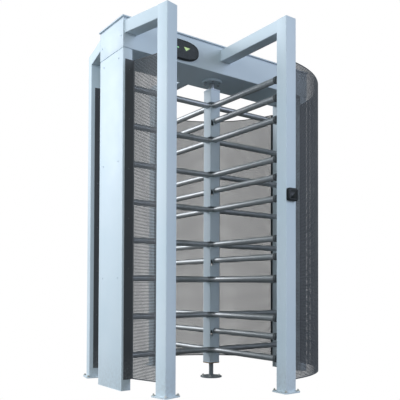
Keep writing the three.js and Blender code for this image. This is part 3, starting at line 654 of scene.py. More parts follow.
def perforated(name, columns):
    """A flat field of square holes, its lower left corner at the origin."""
    wide, high = columns * HOLE_PITCH, HOLE_ROWS * HOLE_PITCH
    bpy.ops.object.select_all(action="DESELECT")
    bpy.ops.mesh.primitive_grid_add(x_subdivisions=columns, y_subdivisions=HOLE_ROWS, size=1)
    field = bpy.context.object
    field.location = (wide / 2, high / 2, 0)
    field.scale = (wide, high, 1)
    bpy.ops.object.transform_apply()
    field.name = name
    edit(field)
    bpy.ops.mesh.select_all(action="SELECT")
    bpy.ops.mesh.inset(thickness=(HOLE_PITCH - HOLE_SIDE) / 2, use_individual=True)
    bpy.ops.mesh.delete(type="FACE")
    leave()
    return field, wide, high


def folded(runs, folds):
    """The path of a sheet: its runs, each a length and a turn, with a small bend in each fold."""
    lengths = [length for length, turn in runs]
    curls = [turn / length for length, turn in runs]
    bends = []
    for i, fold in enumerate(folds):
        trim = SHEET_BEND_R * math.tan(abs(fold) / 2)
        lengths[i] -= trim
        lengths[i + 1] -= trim
        turn = fold + trim * (curls[i] + curls[i + 1])
        bends.append((SHEET_BEND_R * abs(turn), turn))
    bends.append((0, 0))
    path = []
    for length, curl, bend in zip(lengths, curls, bends):
        path += [(length, length * curl), bend]
    return path


def follow(start, heading, path, distance):
    """The point at a distance along a path of straight runs and arcs."""
    x, y = start
    for length, turn in path:
        share = min(distance, length)
        if share <= 0:
            continue
        bend = turn * share / length
        chord = share * math.sin(bend / 2) / (bend / 2) if abs(bend) > TOUCH else share
        x += chord * math.cos(heading + bend / 2)
        y += chord * math.sin(heading + bend / 2)
        heading += bend
        distance -= share
    return x, y


def fold_lines(path):
    """The distances along a path at which its sheet has an edge, with steps through each bend."""
    lines = [0.0]
    at = 0.0
    for length, turn in path:
        steps = BEND_STEPS if abs(turn) * SHEET_R > 2 * length else 1
        if length > 0:
            lines += [at + length * step / steps for step in range(1, steps + 1)]
        at += length
    return lines


def grown(piece, axis, line, stops):
    """Extrude the edge of a sheet that lies on a line through further stops."""
    pick(piece, "EDGE", lambda edge: all(abs(vertex.co[axis] - line) < TOUCH for vertex in edge.verts))
    for stop in stops:
        shift = [0, 0, 0]
        shift[axis] = stop - line
        extrude(*shift)
        line = stop


def guide_sheet(name, node, columns, start, heading, path, field_middle):
    """A perforated field with its bare margins and flanges, bent along a path and given its thickness."""
    low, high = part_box(node)
    sheet, wide, tall = perforated(name, columns)
    field_start = field_middle - wide / 2
    for vertex in sheet.data.vertices:
        vertex.co.x += field_start
    lines = fold_lines(path)
    margin = (high.z - low.z - tall) / 2
    edit(sheet)
    grown(sheet, 0, field_start, [line for line in reversed(lines) if line < field_start - TOUCH])
    grown(sheet, 0, field_start + wide, [line for line in lines if line > field_start + wide + TOUCH])
    grown(sheet, 1, 0, [-margin])
    grown(sheet, 1, tall, [tall + margin])
    leave()
    for vertex in sheet.data.vertices:
        x, y = follow(start, heading, path, vertex.co.x)
        vertex.co = (x, y, low.z + margin + vertex.co.y)
    edit(sheet)
    leave_outward()
    lone(sheet)
    wall = sheet.modifiers.new("wall", "SOLIDIFY")
    wall.thickness = SHEET_GAUGE
    wall.offset = 0
    bpy.ops.object.modifier_apply(modifier=wall.name)
    return sheet


def split_at(piece, height, name):
    """The part of a sheet above a height, as a piece of its own."""
    edit(piece)
    pick(piece, "FACE", lambda face: face.calc_center_median().z > height)
    bpy.ops.mesh.separate(type="SELECTED")
    leave()
    other = next(made for made in bpy.context.selected_objects if made != piece)
    other.name = name
    return other


def flange_screws(name, place, facing, low, high):
    """An upright row of screws between two heights."""
    heads = []
    for i in range(SHEET_SCREWS):
        share = i / (SHEET_SCREWS - 1)
        z = low + SHEET_SCREW_MARGIN + share * (high - low - 2 * SHEET_SCREW_MARGIN)
        heads.append(screw(f"{name}_{i}", (*place, z), facing, SHEET_SCREW_R))
    return joined(name, heads)


seat = SHEET_GAP + SHEET_GAUGE / 2
face_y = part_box("right_column")[0].y - seat
arc_start = math.asin(-face_y / SHEET_R)
post_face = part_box("front_center_beam")[1].x
arc_end = math.acos((post_face + seat) / SHEET_R)

low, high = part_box("right_front_sheet")
column_flange = high.x - SHEET_R * math.cos(arc_start)
post_flange = -low.y - SHEET_R * math.sin(arc_end)
arc_turn = arc_end - arc_start
path = folded(
    [(column_flange, 0), (SHEET_R * arc_turn, -arc_turn), (post_flange, 0)],
    [math.pi / 2 - arc_start, arc_end],
)
right_sheet = guide_sheet(
    "right_front_sheet_stretch_1", "right_front_sheet", RIGHT_COLUMNS, (high.x, face_y), math.pi, path,
    column_flange + SHEET_R * arc_turn / 2,
)
right_twin = mirrored(right_sheet, "right_back_sheet_stretch_1")
outside = face_y - SHEET_GAUGE / 2
right_screws = joined("right_front_sheet_screws", [
    flange_screws("column_screws", (high.x - column_flange / 2, outside), (0, -1, 0), low.z, high.z),
    flange_screws("post_screws", (low.x + SHEET_GAUGE, low.y + post_flange / 2), (1, 0, 0), low.z, high.z),
])

low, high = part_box("left_front_sheet")
column_flange = -low.x - SHEET_R * math.cos(arc_start)
arc_turn = LEFT_ARC_END - arc_start
path = folded(
    [(column_flange, 0), (SHEET_R * arc_turn, arc_turn), (LEFT_RUN, 0), (LEFT_FLANGE, 0)],
    [arc_start - math.pi / 2, 0, SPLAY - LEFT_ARC_END - math.pi / 2],
)
left_sheet = guide_sheet(
    "left_front_sheet_panel", "left_front_sheet", LEFT_COLUMNS, (low.x, face_y), 0, path,
    column_flange + (SHEET_R * arc_turn + LEFT_RUN) / 2,
)
left_twin = mirrored(left_sheet, "left_back_sheet_panel")
corner = follow((low.x, face_y), 0, path, column_flange + SHEET_R * arc_turn + LEFT_RUN + LEFT_FLANGE / 2)
post_facing = Vector((-math.sin(SPLAY), math.cos(SPLAY), 0))
corner = Vector((*corner, 0)) + post_facing * SHEET_GAUGE / 2
left_screws = joined("left_front_sheet_screws", [
    flange_screws("column_screws", (low.x + column_flange / 2, outside), (0, -1, 0), low.z, high.z),
    flange_screws("post_screws", corner.xy, post_facing, low.z, high.z),
])
for sheet, node in ((right_sheet, "right_front_sheet"), (right_twin, "right_back_sheet")):
    bottom, top = (corner.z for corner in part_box(node))
    for i in reversed(range(1, SHEET_PIECES)):
        height = bottom + (top - bottom) * i / SHEET_PIECES
        stretch = split_at(sheet, height, f"{node}_stretch_{i + 1}")
        fit(stretch, sheet_coat, "frame", "sheet_steel", node)
    fit(sheet, sheet_coat, "frame", "sheet_steel", node)
fit(left_sheet, sheet_coat, "frame", "sheet_steel", "left_front_sheet")
fit(left_twin, sheet_coat, "frame", "sheet_steel", "left_back_sheet")
for heads, twin in ((right_screws, "right_back_sheet_screws"), (left_screws, "left_back_sheet_screws")):
    fit(mirrored(heads, twin), black_zinc, "frame", "sheet_steel")
    fit(heads, black_zinc, "frame", "sheet_steel")

# Rotor foot. A turned steel flange is bolted to the floor, and its fixed spindle carries a bronze thrust
# washer and the bush that is welded under the rotor column.
FOOT_R = 0.0725
FOOT_THICKNESS = 0.008
FOOT_CHAMFER = 0.0012
SPINDLE_R = 0.015
SHOULDER = 0.0924
JOURNAL_R = 0.0125
COLLAR_WELD = 0.003
FOOT_BOLTS = 4
FOOT_BOLT_CIRCLE = 0.055
BUSH_R = 0.024
BUSH_BORE = 0.013
TURNED_SIDES = 96
BORE_SIDES = 64
MACHINED = (0.36, 0.39, 0.41, 1)
BRONZE = (0.44, 0.27, 0.11, 1)
TURNED_ROUGHNESS_SPAN = 0.14
TURNED_SHADE = (0.72, 1.0)
RING_SQUEEZE = (1, 1, 90)


def turned_metal(name, color, roughness, metallic=1.0):
    """Metal from a lathe: fine rings round the Z axis."""
    made = finish_named(name, metallic=metallic)
    place = place_in(made)
    squeezed = step(made, "ShaderNodeMapping", {"Vector": place, "Scale": RING_SQUEEZE})
    rings = noise(made, squeezed.outputs["Vector"], scale=30, detail=3)
    cloud = spread(made, noise(made, place, scale=35, detail=4), *NOISE_RANGE, *TURNED_SHADE)
    shade = step(made, "ShaderNodeHueSaturation", {"Color": color, "Value": cloud}).outputs["Color"]
    feed(made, "Base Color", shade)
    rough = (roughness, roughness + TURNED_ROUGHNESS_SPAN)
    feed(made, "Roughness", spread(made, rings, *NOISE_RANGE, *rough))
    feed(made, "Normal", ripples(made, rings, strength=0.12, distance=0.0002))
    return made


machined = turned_metal("machined_steel", MACHINED, roughness=0.40, metallic=0.6)
bronze = turned_metal("bronze", BRONZE, roughness=0.30)


def lathe(name, profile):
    """A round solid from its profile, as pairs of radius and height from the axis and back to it."""
    bpy.ops.object.select_all(action="DESELECT")
    start_r, start_z = profile[0]
    bpy.ops.mesh.primitive_circle_add(vertices=TURNED_SIDES, radius=start_r, location=(0, 0, start_z))
    bpy.ops.object.transform_apply()
    piece = bpy.context.object
    piece.name = name
    edit(piece)
    bpy.ops.mesh.select_all(action="SELECT")
    bpy.ops.mesh.edge_face_add()
    for (r, z), (next_r, next_z) in zip(profile, profile[1:]):
        extrude(0, 0, next_z - z)
        bpy.ops.transform.resize(value=(next_r / r, next_r / r, 1), center_override=(0, 0, next_z))
    leave_outward()
    return piece


foot = lathe("foot_flange_turned", [
    (FOOT_R - FOOT_CHAMFER, 0), (FOOT_R, FOOT_CHAMFER), (FOOT_R, FOOT_THICKNESS - FOOT_CHAMFER),
    (FOOT_R - FOOT_CHAMFER, FOOT_THICKNESS), (SPINDLE_R + COLLAR_WELD, FOOT_THICKNESS),
    (SPINDLE_R, FOOT_THICKNESS + COLLAR_WELD), (SPINDLE_R, SHOULDER), (JOURNAL_R, SHOULDER),
    (JOURNAL_R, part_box("foot_flange")[1].z),
])
fit(foot, machined, "frame", "machined_steel", "foot_flange")
bolts = []
for i in range(FOOT_BOLTS):
    angle = math.tau * (i + 0.5) / FOOT_BOLTS
    x, y = FOOT_BOLT_CIRCLE * math.cos(angle), FOOT_BOLT_CIRCLE * math.sin(angle)
    bolts.append(anchor_bolt(f"foot_bolt_{i}", x, y, FOOT_THICKNESS))
fit(joined("foot_flange_bolts", bolts), zinc_finish, "frame", "zinc_steel")

low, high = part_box("thrust_washer")
washer = rod("thrust_washer_ring", SPINDLE_R, low.z, high.z, BORE_SIDES)
cut(washer, rod("bore", BUSH_BORE, low.z - SHOULDER, high.z + SHOULDER, BORE_SIDES))
fit(washer, bronze, "frame", "bronze", "thrust_washer")

low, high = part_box("foot_bush")
column_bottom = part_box("rotor_column")[0].z
plate = block("plate", low, (high.x, high.y, column_bottom - SHEET_GAP))
rounded(plate, TUBE_CORNER, CORNER_STEPS, upright)
hub = rod("hub", BUSH_R, column_bottom - SHEET_GAP, high.z, BORE_SIDES)
bush = joined("foot_bush_turned", [plate, hub])
cut(bush, rod("bore", BUSH_BORE, -high.z, 2 * high.z, BORE_SIDES))
fit(bush, bronze, "rotor", "bronze", "foot_bush")

# Rotor column. Painted square tube, its corners cut away where the bent arms pass, and slotted beside the
# middle bars. Small plates close each cut corner above and below, and all bars are welded in.
COLUMN_SIDE = 0.080
COLUMN_WALL = 0.004
BAR_R = 0.019
BEND_R = 0.048
SLOT_START = 0.036
SLOT_WIDTH = 0.022
SLOT_HEIGHT = 0.038
SLOT_DROP = 0.015
SEAT_R = 0.0191
CLOSER = 0.002
SEAM_SPREAD = math.radians(124)
SEAM_POINTS = 28
ARM_LEVELS = 8
MID_LEVELS = 4


def levels_of(kind, count):
    """The heights of the middles of a row of bars."""
    return [sum(corner.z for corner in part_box(f"{kind}_{i}")) / 2 for i in range(1, count + 1)]


arm_levels = levels_of("front_arm", ARM_LEVELS)
mid_levels = levels_of("mid_bar", MID_LEVELS)
half = COLUMN_SIDE / 2


def bend_tube(name, radius, sides, steps, reach):
    """A tube that comes along X from the left, bends at a right angle and leaves to the front."""
    bpy.ops.object.select_all(action="DESELECT")
    bpy.ops.mesh.primitive_circle_add(
        vertices=sides, radius=radius, location=(-reach, 0, 0), rotation=(0, math.pi / 2, 0)
    )
    bpy.ops.object.transform_apply()
    tube = bpy.context.object
    tube.name = name
    edit(tube)
    bpy.ops.mesh.select_all(action="SELECT")
    extrude(reach - BEND_R, 0, 0)
    bpy.ops.mesh.spin(steps=steps, angle=math.pi / 2, center=(-BEND_R, -BEND_R, 0), axis=(0, 0, 1))
    extrude(0, BEND_R - reach, 0)
    pick(tube, "EDGE", lambda edge: edge.is_boundary)
    bpy.ops.mesh.edge_face_add()
    bpy.ops.mesh.select_all(action="SELECT")
    bpy.ops.mesh.remove_doubles(threshold=TOUCH)
    leave_outward()
    return tube


def bend_seam(turn, height):
    """The weld beads where a bend passes through two faces of the column."""
    beads = []
    for swap in (False, True):
        route = []
        for i in range(SEAM_POINTS + 1):
            angle = SEAM_SPREAD * (2 * i / SEAM_POINTS - 1)
            across = BEND_R + BAR_R * math.cos(angle)
            along = math.sqrt(across ** 2 - (BEND_R - half) ** 2) - BEND_R
            x, y = (along, -half) if swap else (-half, along)
            route.append(Vector((x, y, height + BAR_R * math.sin(angle))))
        beads.append(settle(bead("seam", route, closed=False), (0, 0, 0), turn))
    return beads


def bar_seam(side, height):
    """The weld bead round a middle bar on one face of the column."""
    route = []
    for i in range(2 * SEAM_POINTS):
        angle = math.pi * i / SEAM_POINTS
        route.append(Vector((BAR_R * math.cos(angle), side * half, height + BAR_R * math.sin(angle))))
    return bead("seam", route)


low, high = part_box("rotor_column")
column_tube = block("rotor_column_tube", low, high)
rounded(column_tube, TUBE_CORNER, CORNER_STEPS, upright)
inner = half - COLUMN_WALL
cut(column_tube, block("bore", (-inner, -inner, -high.z), (inner, inner, 2 * high.z)))
crossing = BEND_R - math.sqrt(BEND_R ** 2 - (BEND_R - half) ** 2)
closers = []
for z in arm_levels:
    for side in (1, -1):
        near, far = sorted((-crossing * side, -2 * half * side))
        cut(column_tube, block("notch", (near, near, z - SEAT_R), (far, far, z + SEAT_R)))
        near, far = sorted((-crossing * side, -inner * side))
        for bottom in (z + SEAT_R, z - SEAT_R - CLOSER):
            closers.append(block("closer", (near, near, bottom), (far, far, bottom + CLOSER)))
for z in mid_levels:
    for side in (1, -1):
        slot_bottom = z - SLOT_DROP - SLOT_HEIGHT / 2
        corner = Vector((-SLOT_START * side, -inner * side, slot_bottom))
        far = Vector(((SLOT_WIDTH - SLOT_START) * side, -2 * half * side, slot_bottom + SLOT_HEIGHT))
        start = Vector([min(pair) for pair in zip(corner, far)])
        end = Vector([max(pair) for pair in zip(corner, far)])
        cut(column_tube, block("slot", start, end))
seams = [bead("seam", square_route(COLUMN_SIDE, TUBE_CORNER, z)) for z in (low.z, high.z)]
for z in arm_levels:
    seams += bend_seam(0, z) + bend_seam(math.pi, z)
for z in mid_levels:
    seams += [bar_seam(1, z), bar_seam(-1, z)]
column_tube = joined("rotor_column_tube", [column_tube, *closers, *seams])
fit(column_tube, frame_paint, "rotor", "frame_paint", "rotor_column")

# Arms and middle bars. Each arm is one galvanised tube, bent round the column so that it makes a bar on two
# neighbouring wings. A middle bar is straight. Dark grey plastic caps are pressed on the free ends.
BAR_REACH = 0.628
CAP_R = 0.022
CAP_LENGTH = 0.020
CAP_ROUND = 0.006
CAP_ROUND_STEPS = 5
CAP_LIP = 0.001
BAR_SIDES = 40
BEND_SPIN_STEPS = 16
GALVANISED = (0.36, 0.38, 0.385, 1)
GALVANISED_DULL = (0.44, 0.45, 0.45, 1)
BAR_ROUGHNESS = (0.42, 0.58)
CAP_GREY = (0.080, 0.087, 0.090, 1)
PLASTIC_GLOSS = 0.2
PLASTIC_ROUGHNESS = (0.32, 0.46)

bar_steel = zinc_coat(
    "bar_steel", 0.8, GALVANISED, GALVANISED_DULL, BAR_ROUGHNESS,
    cloud=(70, 4, 0.6), grain=(110, 5), bumps=(500, 3), relief=(0.10, 0.0003),
)


def plastic(name, color):
    """Moulded plastic with a fine grain."""
    made = finish_named(name)
    place = place_in(made)
    shader = made.node_tree.nodes["Principled BSDF"]
    shader.inputs["Base Color"].default_value = color
    shader.inputs["Specular IOR Level"].default_value = PLASTIC_GLOSS
    patches = noise(made, place, scale=30, detail=4)
    feed(made, "Roughness", spread(made, patches, *NOISE_RANGE, *PLASTIC_ROUGHNESS))
    grain = noise(made, place, scale=1500)
    feed(made, "Normal", ripples(made, grain, strength=0.2, distance=0.0002))
    return made


grey_plastic = plastic("grey_plastic", CAP_GREY)


def end_cap(name):
    """A mushroom cap that stands on the XY plane, its round top at +Z."""
    cap = rod(name, CAP_R, 0, CAP_LENGTH, BAR_SIDES)
    rounded(cap, CAP_ROUND, CAP_ROUND_STEPS, edge_at(CAP_LENGTH))
    rounded(cap, CAP_LIP, EDGE_STEPS, edge_at(0))
    return cap


def capped(name, ends, height):
    """Caps on the free ends of a bar, each end a direction in plan."""
    caps = []
    for x, y in ends:
        caps.append(aimed(end_cap("cap"), (x * BAR_REACH, y * BAR_REACH, height), (x, y, 0)))
    fit(joined(name, caps), grey_plastic, "rotor", "black_plastic")


def laid(piece, place):
    """Lay an upright piece along Y, its top to the front, move it to its place, and keep both."""
    lone(piece)
    piece.rotation_euler = (math.pi / 2, 0, 0)
    piece.location = place
    bpy.ops.object.transform_apply()
    return piece


bend = bend_tube("bend", BAR_R, BAR_SIDES, BEND_SPIN_STEPS, BAR_REACH)
for i, z in enumerate(arm_levels, 1):
    for side, turn, out in (("front", 0, -1), ("back", math.pi, 1)):
        tube = settle(copy_of(bend, f"{side}_arm_{i}_tube"), (0, 0, z), turn)
        fit(tube, bar_steel, "rotor", "bar_steel", f"{side}_arm_{i}")
        capped(f"{side}_arm_{i}_caps", ((out, 0), (0, out)), z)
bpy.data.objects.remove(bend)
for i, z in enumerate(mid_levels, 1):
    tube = laid(rod(f"mid_bar_{i}_tube", BAR_R, -BAR_REACH, BAR_REACH, BAR_SIDES), (0, 0, z))
    fit(tube, bar_steel, "rotor", "bar_steel", f"mid_bar_{i}")
    capped(f"mid_bar_{i}_caps", ((0, -1), (0, 1)), z)

# Rotor head. A turned and painted flange is bolted under the header and holds the bearing. A steel shaft,
# welded to the column's top plate, runs up through it.
HEAD_FLANGE_R = 0.070
HEAD_FLANGE_THICKNESS = 0.015
HEAD_NECK_R = 0.035
HEAD_BORE_R = 0.0165
HEAD_BOLTS = 6
HEAD_BOLT_CIRCLE = 0.056
SHAFT_R = 0.016
COLLAR_R = 0.024
COLLAR_BOTTOM = 2.0503
COLLAR_TOP = 2.0797
PLATE_THICKNESS = 0.008

low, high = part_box("top_bearing_housing")
flange_top = low.z + HEAD_FLANGE_THICKNESS
housing = lathe("top_bearing_housing_turned", [
    (HEAD_FLANGE_R - FOOT_CHAMFER, low.z), (HEAD_FLANGE_R, low.z + FOOT_CHAMFER),
    (HEAD_FLANGE_R, flange_top), (HEAD_NECK_R, flange_top), (HEAD_NECK_R, high.z),
])
cut(housing, rod("bore", HEAD_BORE_R, 0, 2 * high.z, BORE_SIDES))
fit(housing, frame_paint, "frame", "frame_paint", "top_bearing_housing")
heads = []
for i in range(HEAD_BOLTS):
    angle = math.tau * i / HEAD_BOLTS
    head = rod("bolt", NUT_R, low.z - NUT_HEIGHT, low.z, NUT_SIDES)
    rounded(head, BASE_EDGE, EDGE_STEPS, edge_at(low.z - NUT_HEIGHT))
    place = (HEAD_BOLT_CIRCLE * math.cos(angle), HEAD_BOLT_CIRCLE * math.sin(angle), 0)
    heads.append(settle(head, place, angle))
fit(joined("top_bearing_housing_bolts", heads), machined, "frame", "machined_steel")

low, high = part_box("top_shaft")
plate_top = low.z + PLATE_THICKNESS
plate = block("plate", low, (high.x, high.y, plate_top))
rounded(plate, TUBE_CORNER, CORNER_STEPS, upright)
shaft = lathe("shaft", [
    (SHAFT_R + COLLAR_WELD, plate_top), (SHAFT_R, plate_top + COLLAR_WELD),
    (SHAFT_R, COLLAR_BOTTOM), (COLLAR_R, COLLAR_BOTTOM), (COLLAR_R, COLLAR_TOP), (SHAFT_R, COLLAR_TOP),
    (SHAFT_R, high.z - FOOT_CHAMFER), (SHAFT_R - FOOT_CHAMFER, high.z),
])
fit(joined("top_shaft_turned", [plate, shaft]), machined, "rotor", "machined_steel", "top_shaft")

# Mechanism. The disc on the rotor's shaft, the pawls and solenoids that lock it, the centring lever and the
# control box are of machined and zinc plated steel and black plastic, and stand on a plate in the header.
BLACK = (0.012, 0.015, 0.016, 1)

black_plastic = plastic("black_plastic", BLACK)


def finished(material, *nodes):
    """Give parts that keep their shape a finish."""
    for node in nodes:
        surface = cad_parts[node].data.materials
        for i in range(len(surface)):
            surface[i] = material
        if not surface:
            surface.append(material)


finished(machined, "top_bearing", "index_disc", "entry_pawl", "exit_pawl")
finished(machined, "centering_lever", "centering_roller")
finished(zinc_finish, "mechanism_plate", "disc_lock_nut")
finished(black_plastic, "entry_solenoid", "exit_solenoid", "control_box")

# Indicator panel. A moulded black oval is screwed to the header's front from inside. In its narrow rim lies
# a glossy window, on which a green arrow and a green bar are lit.
PANEL_POWER = 2.7
PANEL_POINTS = 96
PANEL_RIM = 0.007
PANEL_ROUND = 0.006
PANEL_ROUND_STEPS = 5
PANEL_RECESS = 0.0012
LAMP_PROUD = 0.0002
ARROW = ((-0.352, 2.116), (-0.334, 2.092), (-0.305, 2.114))
LIT_BAR_START = -0.468
LIT_BAR_END = -0.389
LIT_BAR_TOP = 2.107
LIT_BAR_BOTTOM = 2.099
DARK_LENS = (0.013, 0.019, 0.017, 1)
LENS_GLOSS = 0.12
LENS_ROUGHNESS = (0.22, 0.34)
LIT_GREEN = (0.44, 0.60, 0.22, 1)
LIT_STRENGTH = 0.42
DIM_GREEN = (0.16, 0.42, 0.16, 1)
DIM_STRENGTH = 0.55
ROW_DIMMING = 0.7
ROW_SCALE = 130

lens = finish_named("dark_lens")
lens.node_tree.nodes["Principled BSDF"].inputs["Base Color"].default_value = DARK_LENS
lens.node_tree.nodes["Principled BSDF"].inputs["Specular IOR Level"].default_value = LENS_GLOSS
smears = noise(lens, place_in(lens), scale=40, detail=4)
feed(lens, "Roughness", spread(lens, smears, *NOISE_RANGE, *LENS_ROUGHNESS))


def lit(name, color, strength):
    """A lit colour in level rows of small lamps, dimmer between the rows."""
    made = finish_named(name, roughness=0.4)
    place = place_in(made)
    rows = {"Vector": place, "Scale": ROW_SCALE, "Distortion": 0}
    glow = step(made, "ShaderNodeTexWave", rows, bands_direction="Z")
    strength = spread(made, glow.outputs["Fac"], 0, 1, strength * ROW_DIMMING, strength)
    shader = made.node_tree.nodes["Principled BSDF"]
    shader.inputs["Base Color"].default_value = color
    shader.inputs["Emission Color"].default_value = color
    feed(made, "Emission Strength", strength)
    return made


def edge_in_front(y):
    """A test for edges that lie in the plane of y."""
    return lambda edge: all(abs(vertex.co.y - y) < TOUCH for vertex in edge.verts)


def round_face(name, points):
    """A flat face with its corners on a circle of radius 1."""
    bpy.ops.object.select_all(action="DESELECT")
    bpy.ops.mesh.primitive_circle_add(vertices=points, radius=1, fill_type="NGON")
    bpy.context.object.name = name
    return bpy.context.object


def thickened(face, depth):
    """A face in the XZ plane, made into a slab."""
    edit(face)
    bpy.ops.mesh.select_all(action="SELECT")
    extrude(0, depth, 0)
    leave_outward()
    return face


def oval(name, middle, half_width, half_height, back, front):
    """A slab whose outline is between an ellipse and a rectangle, its face to the front."""
    slab = round_face(name, PANEL_POINTS)
    power = 2 / PANEL_POWER
    for vertex in slab.data.vertices:
        c, s, _ = vertex.co
        x = middle.x + half_width * math.copysign(abs(c) ** power, c)
        z = middle.z + half_height * math.copysign(abs(s) ** power, s)
        vertex.co = (x, back, z)
    return thickened(slab, front - back)


def drawn(name, points, back, front):
    """A flat shape on the panel's face, from its corners in the XZ plane."""
    shape = round_face(name, len(points))
    for vertex, (x, z) in zip(shape.data.vertices, points):
        vertex.co = (x, back, z)
    return thickened(shape, front - back)


low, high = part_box("indicator_panel")
middle = (low + high) / 2
half_width, half_height = (high.x - low.x) / 2, (high.z - low.z) / 2
panel = oval("indicator_panel_shell", middle, half_width, half_height, high.y, low.y)
rounded(panel, PANEL_ROUND, PANEL_ROUND_STEPS, edge_in_front(low.y))
edit(panel)
pick(panel, "FACE", lambda face: face.normal.y < -FACING)
bpy.ops.mesh.inset(thickness=PANEL_RIM - PANEL_ROUND)
bpy.ops.mesh.inset(thickness=PANEL_RECESS, depth=-PANEL_RECESS)
leave()
fit(panel, black_plastic, "frame", "black_plastic", "indicator_panel")
window_face = low.y + PANEL_RECESS / 2
window_inset = PANEL_RIM + PANEL_RECESS / 2
window = oval(
    "indicator_window", middle, half_width - window_inset, half_height - window_inset,
    low.y + PANEL_RECESS, window_face,
)
fit(window, lens, "frame", "black_plastic")
arrow = drawn("indicator_arrow", ARROW, window_face, window_face - LAMP_PROUD)
fit(arrow, lit("lit_green", LIT_GREEN, LIT_STRENGTH), "frame", "black_plastic")
corners = [
    (LIT_BAR_START, LIT_BAR_BOTTOM), (LIT_BAR_END, LIT_BAR_BOTTOM),
    (LIT_BAR_END, LIT_BAR_TOP), (LIT_BAR_START, LIT_BAR_TOP),
]
bar = drawn("indicator_bar", corners, window_face, window_face - LAMP_PROUD)
fit(bar, lit("dim_green", DIM_GREEN, DIM_STRENGTH), "frame", "black_plastic")

# Card reader. A moulded black box with soft corners is screwed to the front centre post. A shallow panel in
# its face shows where a card is held, with a small light on it.
READER_CORNER = 0.014
READER_CORNER_STEPS = 6
READER_ROUND = 0.005
READER_PANEL = 0.008
READER_GROOVE = 0.0008
READER_LIGHT_R = 0.0022
READER_LIGHT_SIDES = 20
READER_LIGHT_PROUD = 0.0004
READER_LIGHT_Z = 1.170

low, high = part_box("card_reader")
reader = block("card_reader_shell", low, high)
rounded(reader, READER_CORNER, READER_CORNER_STEPS, lambda edge: depth_of(edge) > READER_CORNER)
rounded(reader, READER_ROUND, CORNER_STEPS, edge_in_front(low.y))
edit(reader)
pick(reader, "FACE", lambda face: face.normal.y < -FACING)
bpy.ops.mesh.inset(thickness=READER_PANEL)
bpy.ops.mesh.inset(thickness=READER_GROOVE, depth=-READER_GROOVE)
bpy.ops.mesh.inset(thickness=READER_GROOVE, depth=READER_GROOVE - READER_LIGHT_PROUD)
leave()
fit(reader, black_plastic, "frame", "black_plastic", "card_reader")
light = rod(
    "card_reader_light", READER_LIGHT_R, 0, READER_LIGHT_PROUD, READER_LIGHT_SIDES, READER_LIGHT_PROUD / 3
)
laid(light, (0, low.y + READER_LIGHT_PROUD, READER_LIGHT_Z))
fit(light, lens, "frame", "black_plastic")

# Camera. It stands to the left of the front, about 0.6 m above the floor, and looks almost level. Its frame
# is shifted up, so that upright edges stay nearly upright.
CAMERA_PLACE = (-2.38945, -3.15079, 0.59439)
CAMERA_YAW = math.radians(36.11)
CAMERA_PITCH = math.radians(1.26)
CAMERA_ROLL = math.radians(0.20)
LENS_MM = 52.18
SENSOR_MM = 36
SHIFT_X = -0.0015
SHIFT_Y = 0.191

bpy.ops.object.select_all(action="DESELECT")
bpy.ops.object.camera_add(location=CAMERA_PLACE)
camera = bpy.context.object
camera.rotation_euler = (
    Matrix.Rotation(-CAMERA_YAW, 3, "Z") @ Matrix.Rotation(math.pi / 2 + CAMERA_PITCH, 3, "X")
    @ Matrix.Rotation(CAMERA_ROLL, 3, "Z")
).to_euler()
camera.data.lens = LENS_MM
camera.data.sensor_width = SENSOR_MM
camera.data.shift_x = SHIFT_X
camera.data.shift_y = SHIFT_Y
bpy.context.scene.camera = camera
bpy.context.scene.view_settings.view_transform = "Standard"

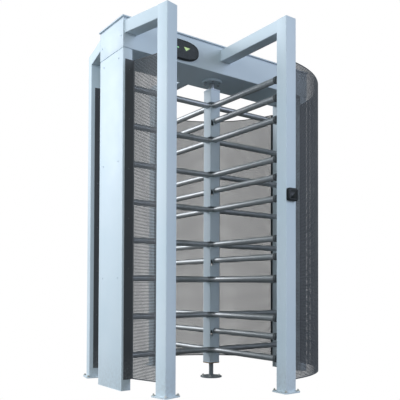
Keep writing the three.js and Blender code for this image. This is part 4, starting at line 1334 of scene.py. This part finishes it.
# Floor, light and surroundings. The floor and the sky are white to the camera. Three broad lamps stand far
# off, the strongest on the left behind the turnstile, and the sky and the floor give a little fill.
FLOOR_SIDE = 40
WHITE = (1, 1, 1, 1)
FLOOR_BOUNCE = (0.18, 0.18, 0.18, 1)
SKY_FILL = (0.92, 1.0, 1.0, 1)
SKY_STRENGTH = 0.45
LAMP_AIM = (0, 0, 1.2)
KEY_PLACE = (-5.8, 6.9, 4.9)
KEY_SIZE = 3.5
KEY_ENERGY = 555
KEY_COLOR = (0.92, 0.94, 1.0)
SIDE_PLACE = (-6.5, -1.2, 3.0)
SIDE_SIZE = 4
SIDE_ENERGY = 250
SIDE_COLOR = (0.81, 0.90, 1.0)
FRONT_PLACE = (4.0, -8.0, 4.0)
FRONT_SIZE = 4
FRONT_ENERGY = 390
FRONT_COLOR = (0.70, 0.78, 1.0)


def white_to_camera(holder, output, unseen, seen):
    """Give the camera one shader of a material or world to see, and let light meet the other."""
    ray = step(holder, "ShaderNodeLightPath", {})
    mixed = step(holder, "ShaderNodeMixShader", {0: ray.outputs["Is Camera Ray"], 1: unseen, 2: seen})
    holder.node_tree.links.new(mixed.outputs["Shader"], holder.node_tree.nodes[output].inputs["Surface"])


bpy.ops.object.select_all(action="DESELECT")
bpy.ops.mesh.primitive_plane_add(size=FLOOR_SIDE)
floor = bpy.context.object
floor.name = "floor"
ground = finish_named("ground", roughness=0.9)
bounce = ground.node_tree.nodes["Principled BSDF"]
bounce.inputs["Base Color"].default_value = FLOOR_BOUNCE
white = step(ground, "ShaderNodeEmission", {"Color": WHITE, "Strength": 1.0})
white_to_camera(ground, "Material Output", bounce.outputs["BSDF"], white.outputs["Emission"])
floor.data.materials.append(ground)


def lamp(place, size, energy, color):
    """A square lamp that faces the turnstile."""
    bpy.ops.object.select_all(action="DESELECT")
    bpy.ops.object.light_add(type="AREA", location=place)
    made = bpy.context.object
    made.rotation_euler = (Vector(LAMP_AIM) - Vector(place)).to_track_quat("-Z", "Y").to_euler()
    made.data.size = size
    made.data.energy = energy
    made.data.color = color


lamp(KEY_PLACE, KEY_SIZE, KEY_ENERGY, KEY_COLOR)
lamp(SIDE_PLACE, SIDE_SIZE, SIDE_ENERGY, SIDE_COLOR)
lamp(FRONT_PLACE, FRONT_SIZE, FRONT_ENERGY, FRONT_COLOR)

world = bpy.data.worlds.new("surroundings")
world.use_nodes = True
bpy.context.scene.world = world
backdrop = world.node_tree.nodes["Background"]
backdrop.inputs["Color"].default_value = WHITE
fill = step(world, "ShaderNodeBackground", {"Color": SKY_FILL, "Strength": SKY_STRENGTH})
white_to_camera(world, "World Output", fill.outputs["Background"], backdrop.outputs["Background"])
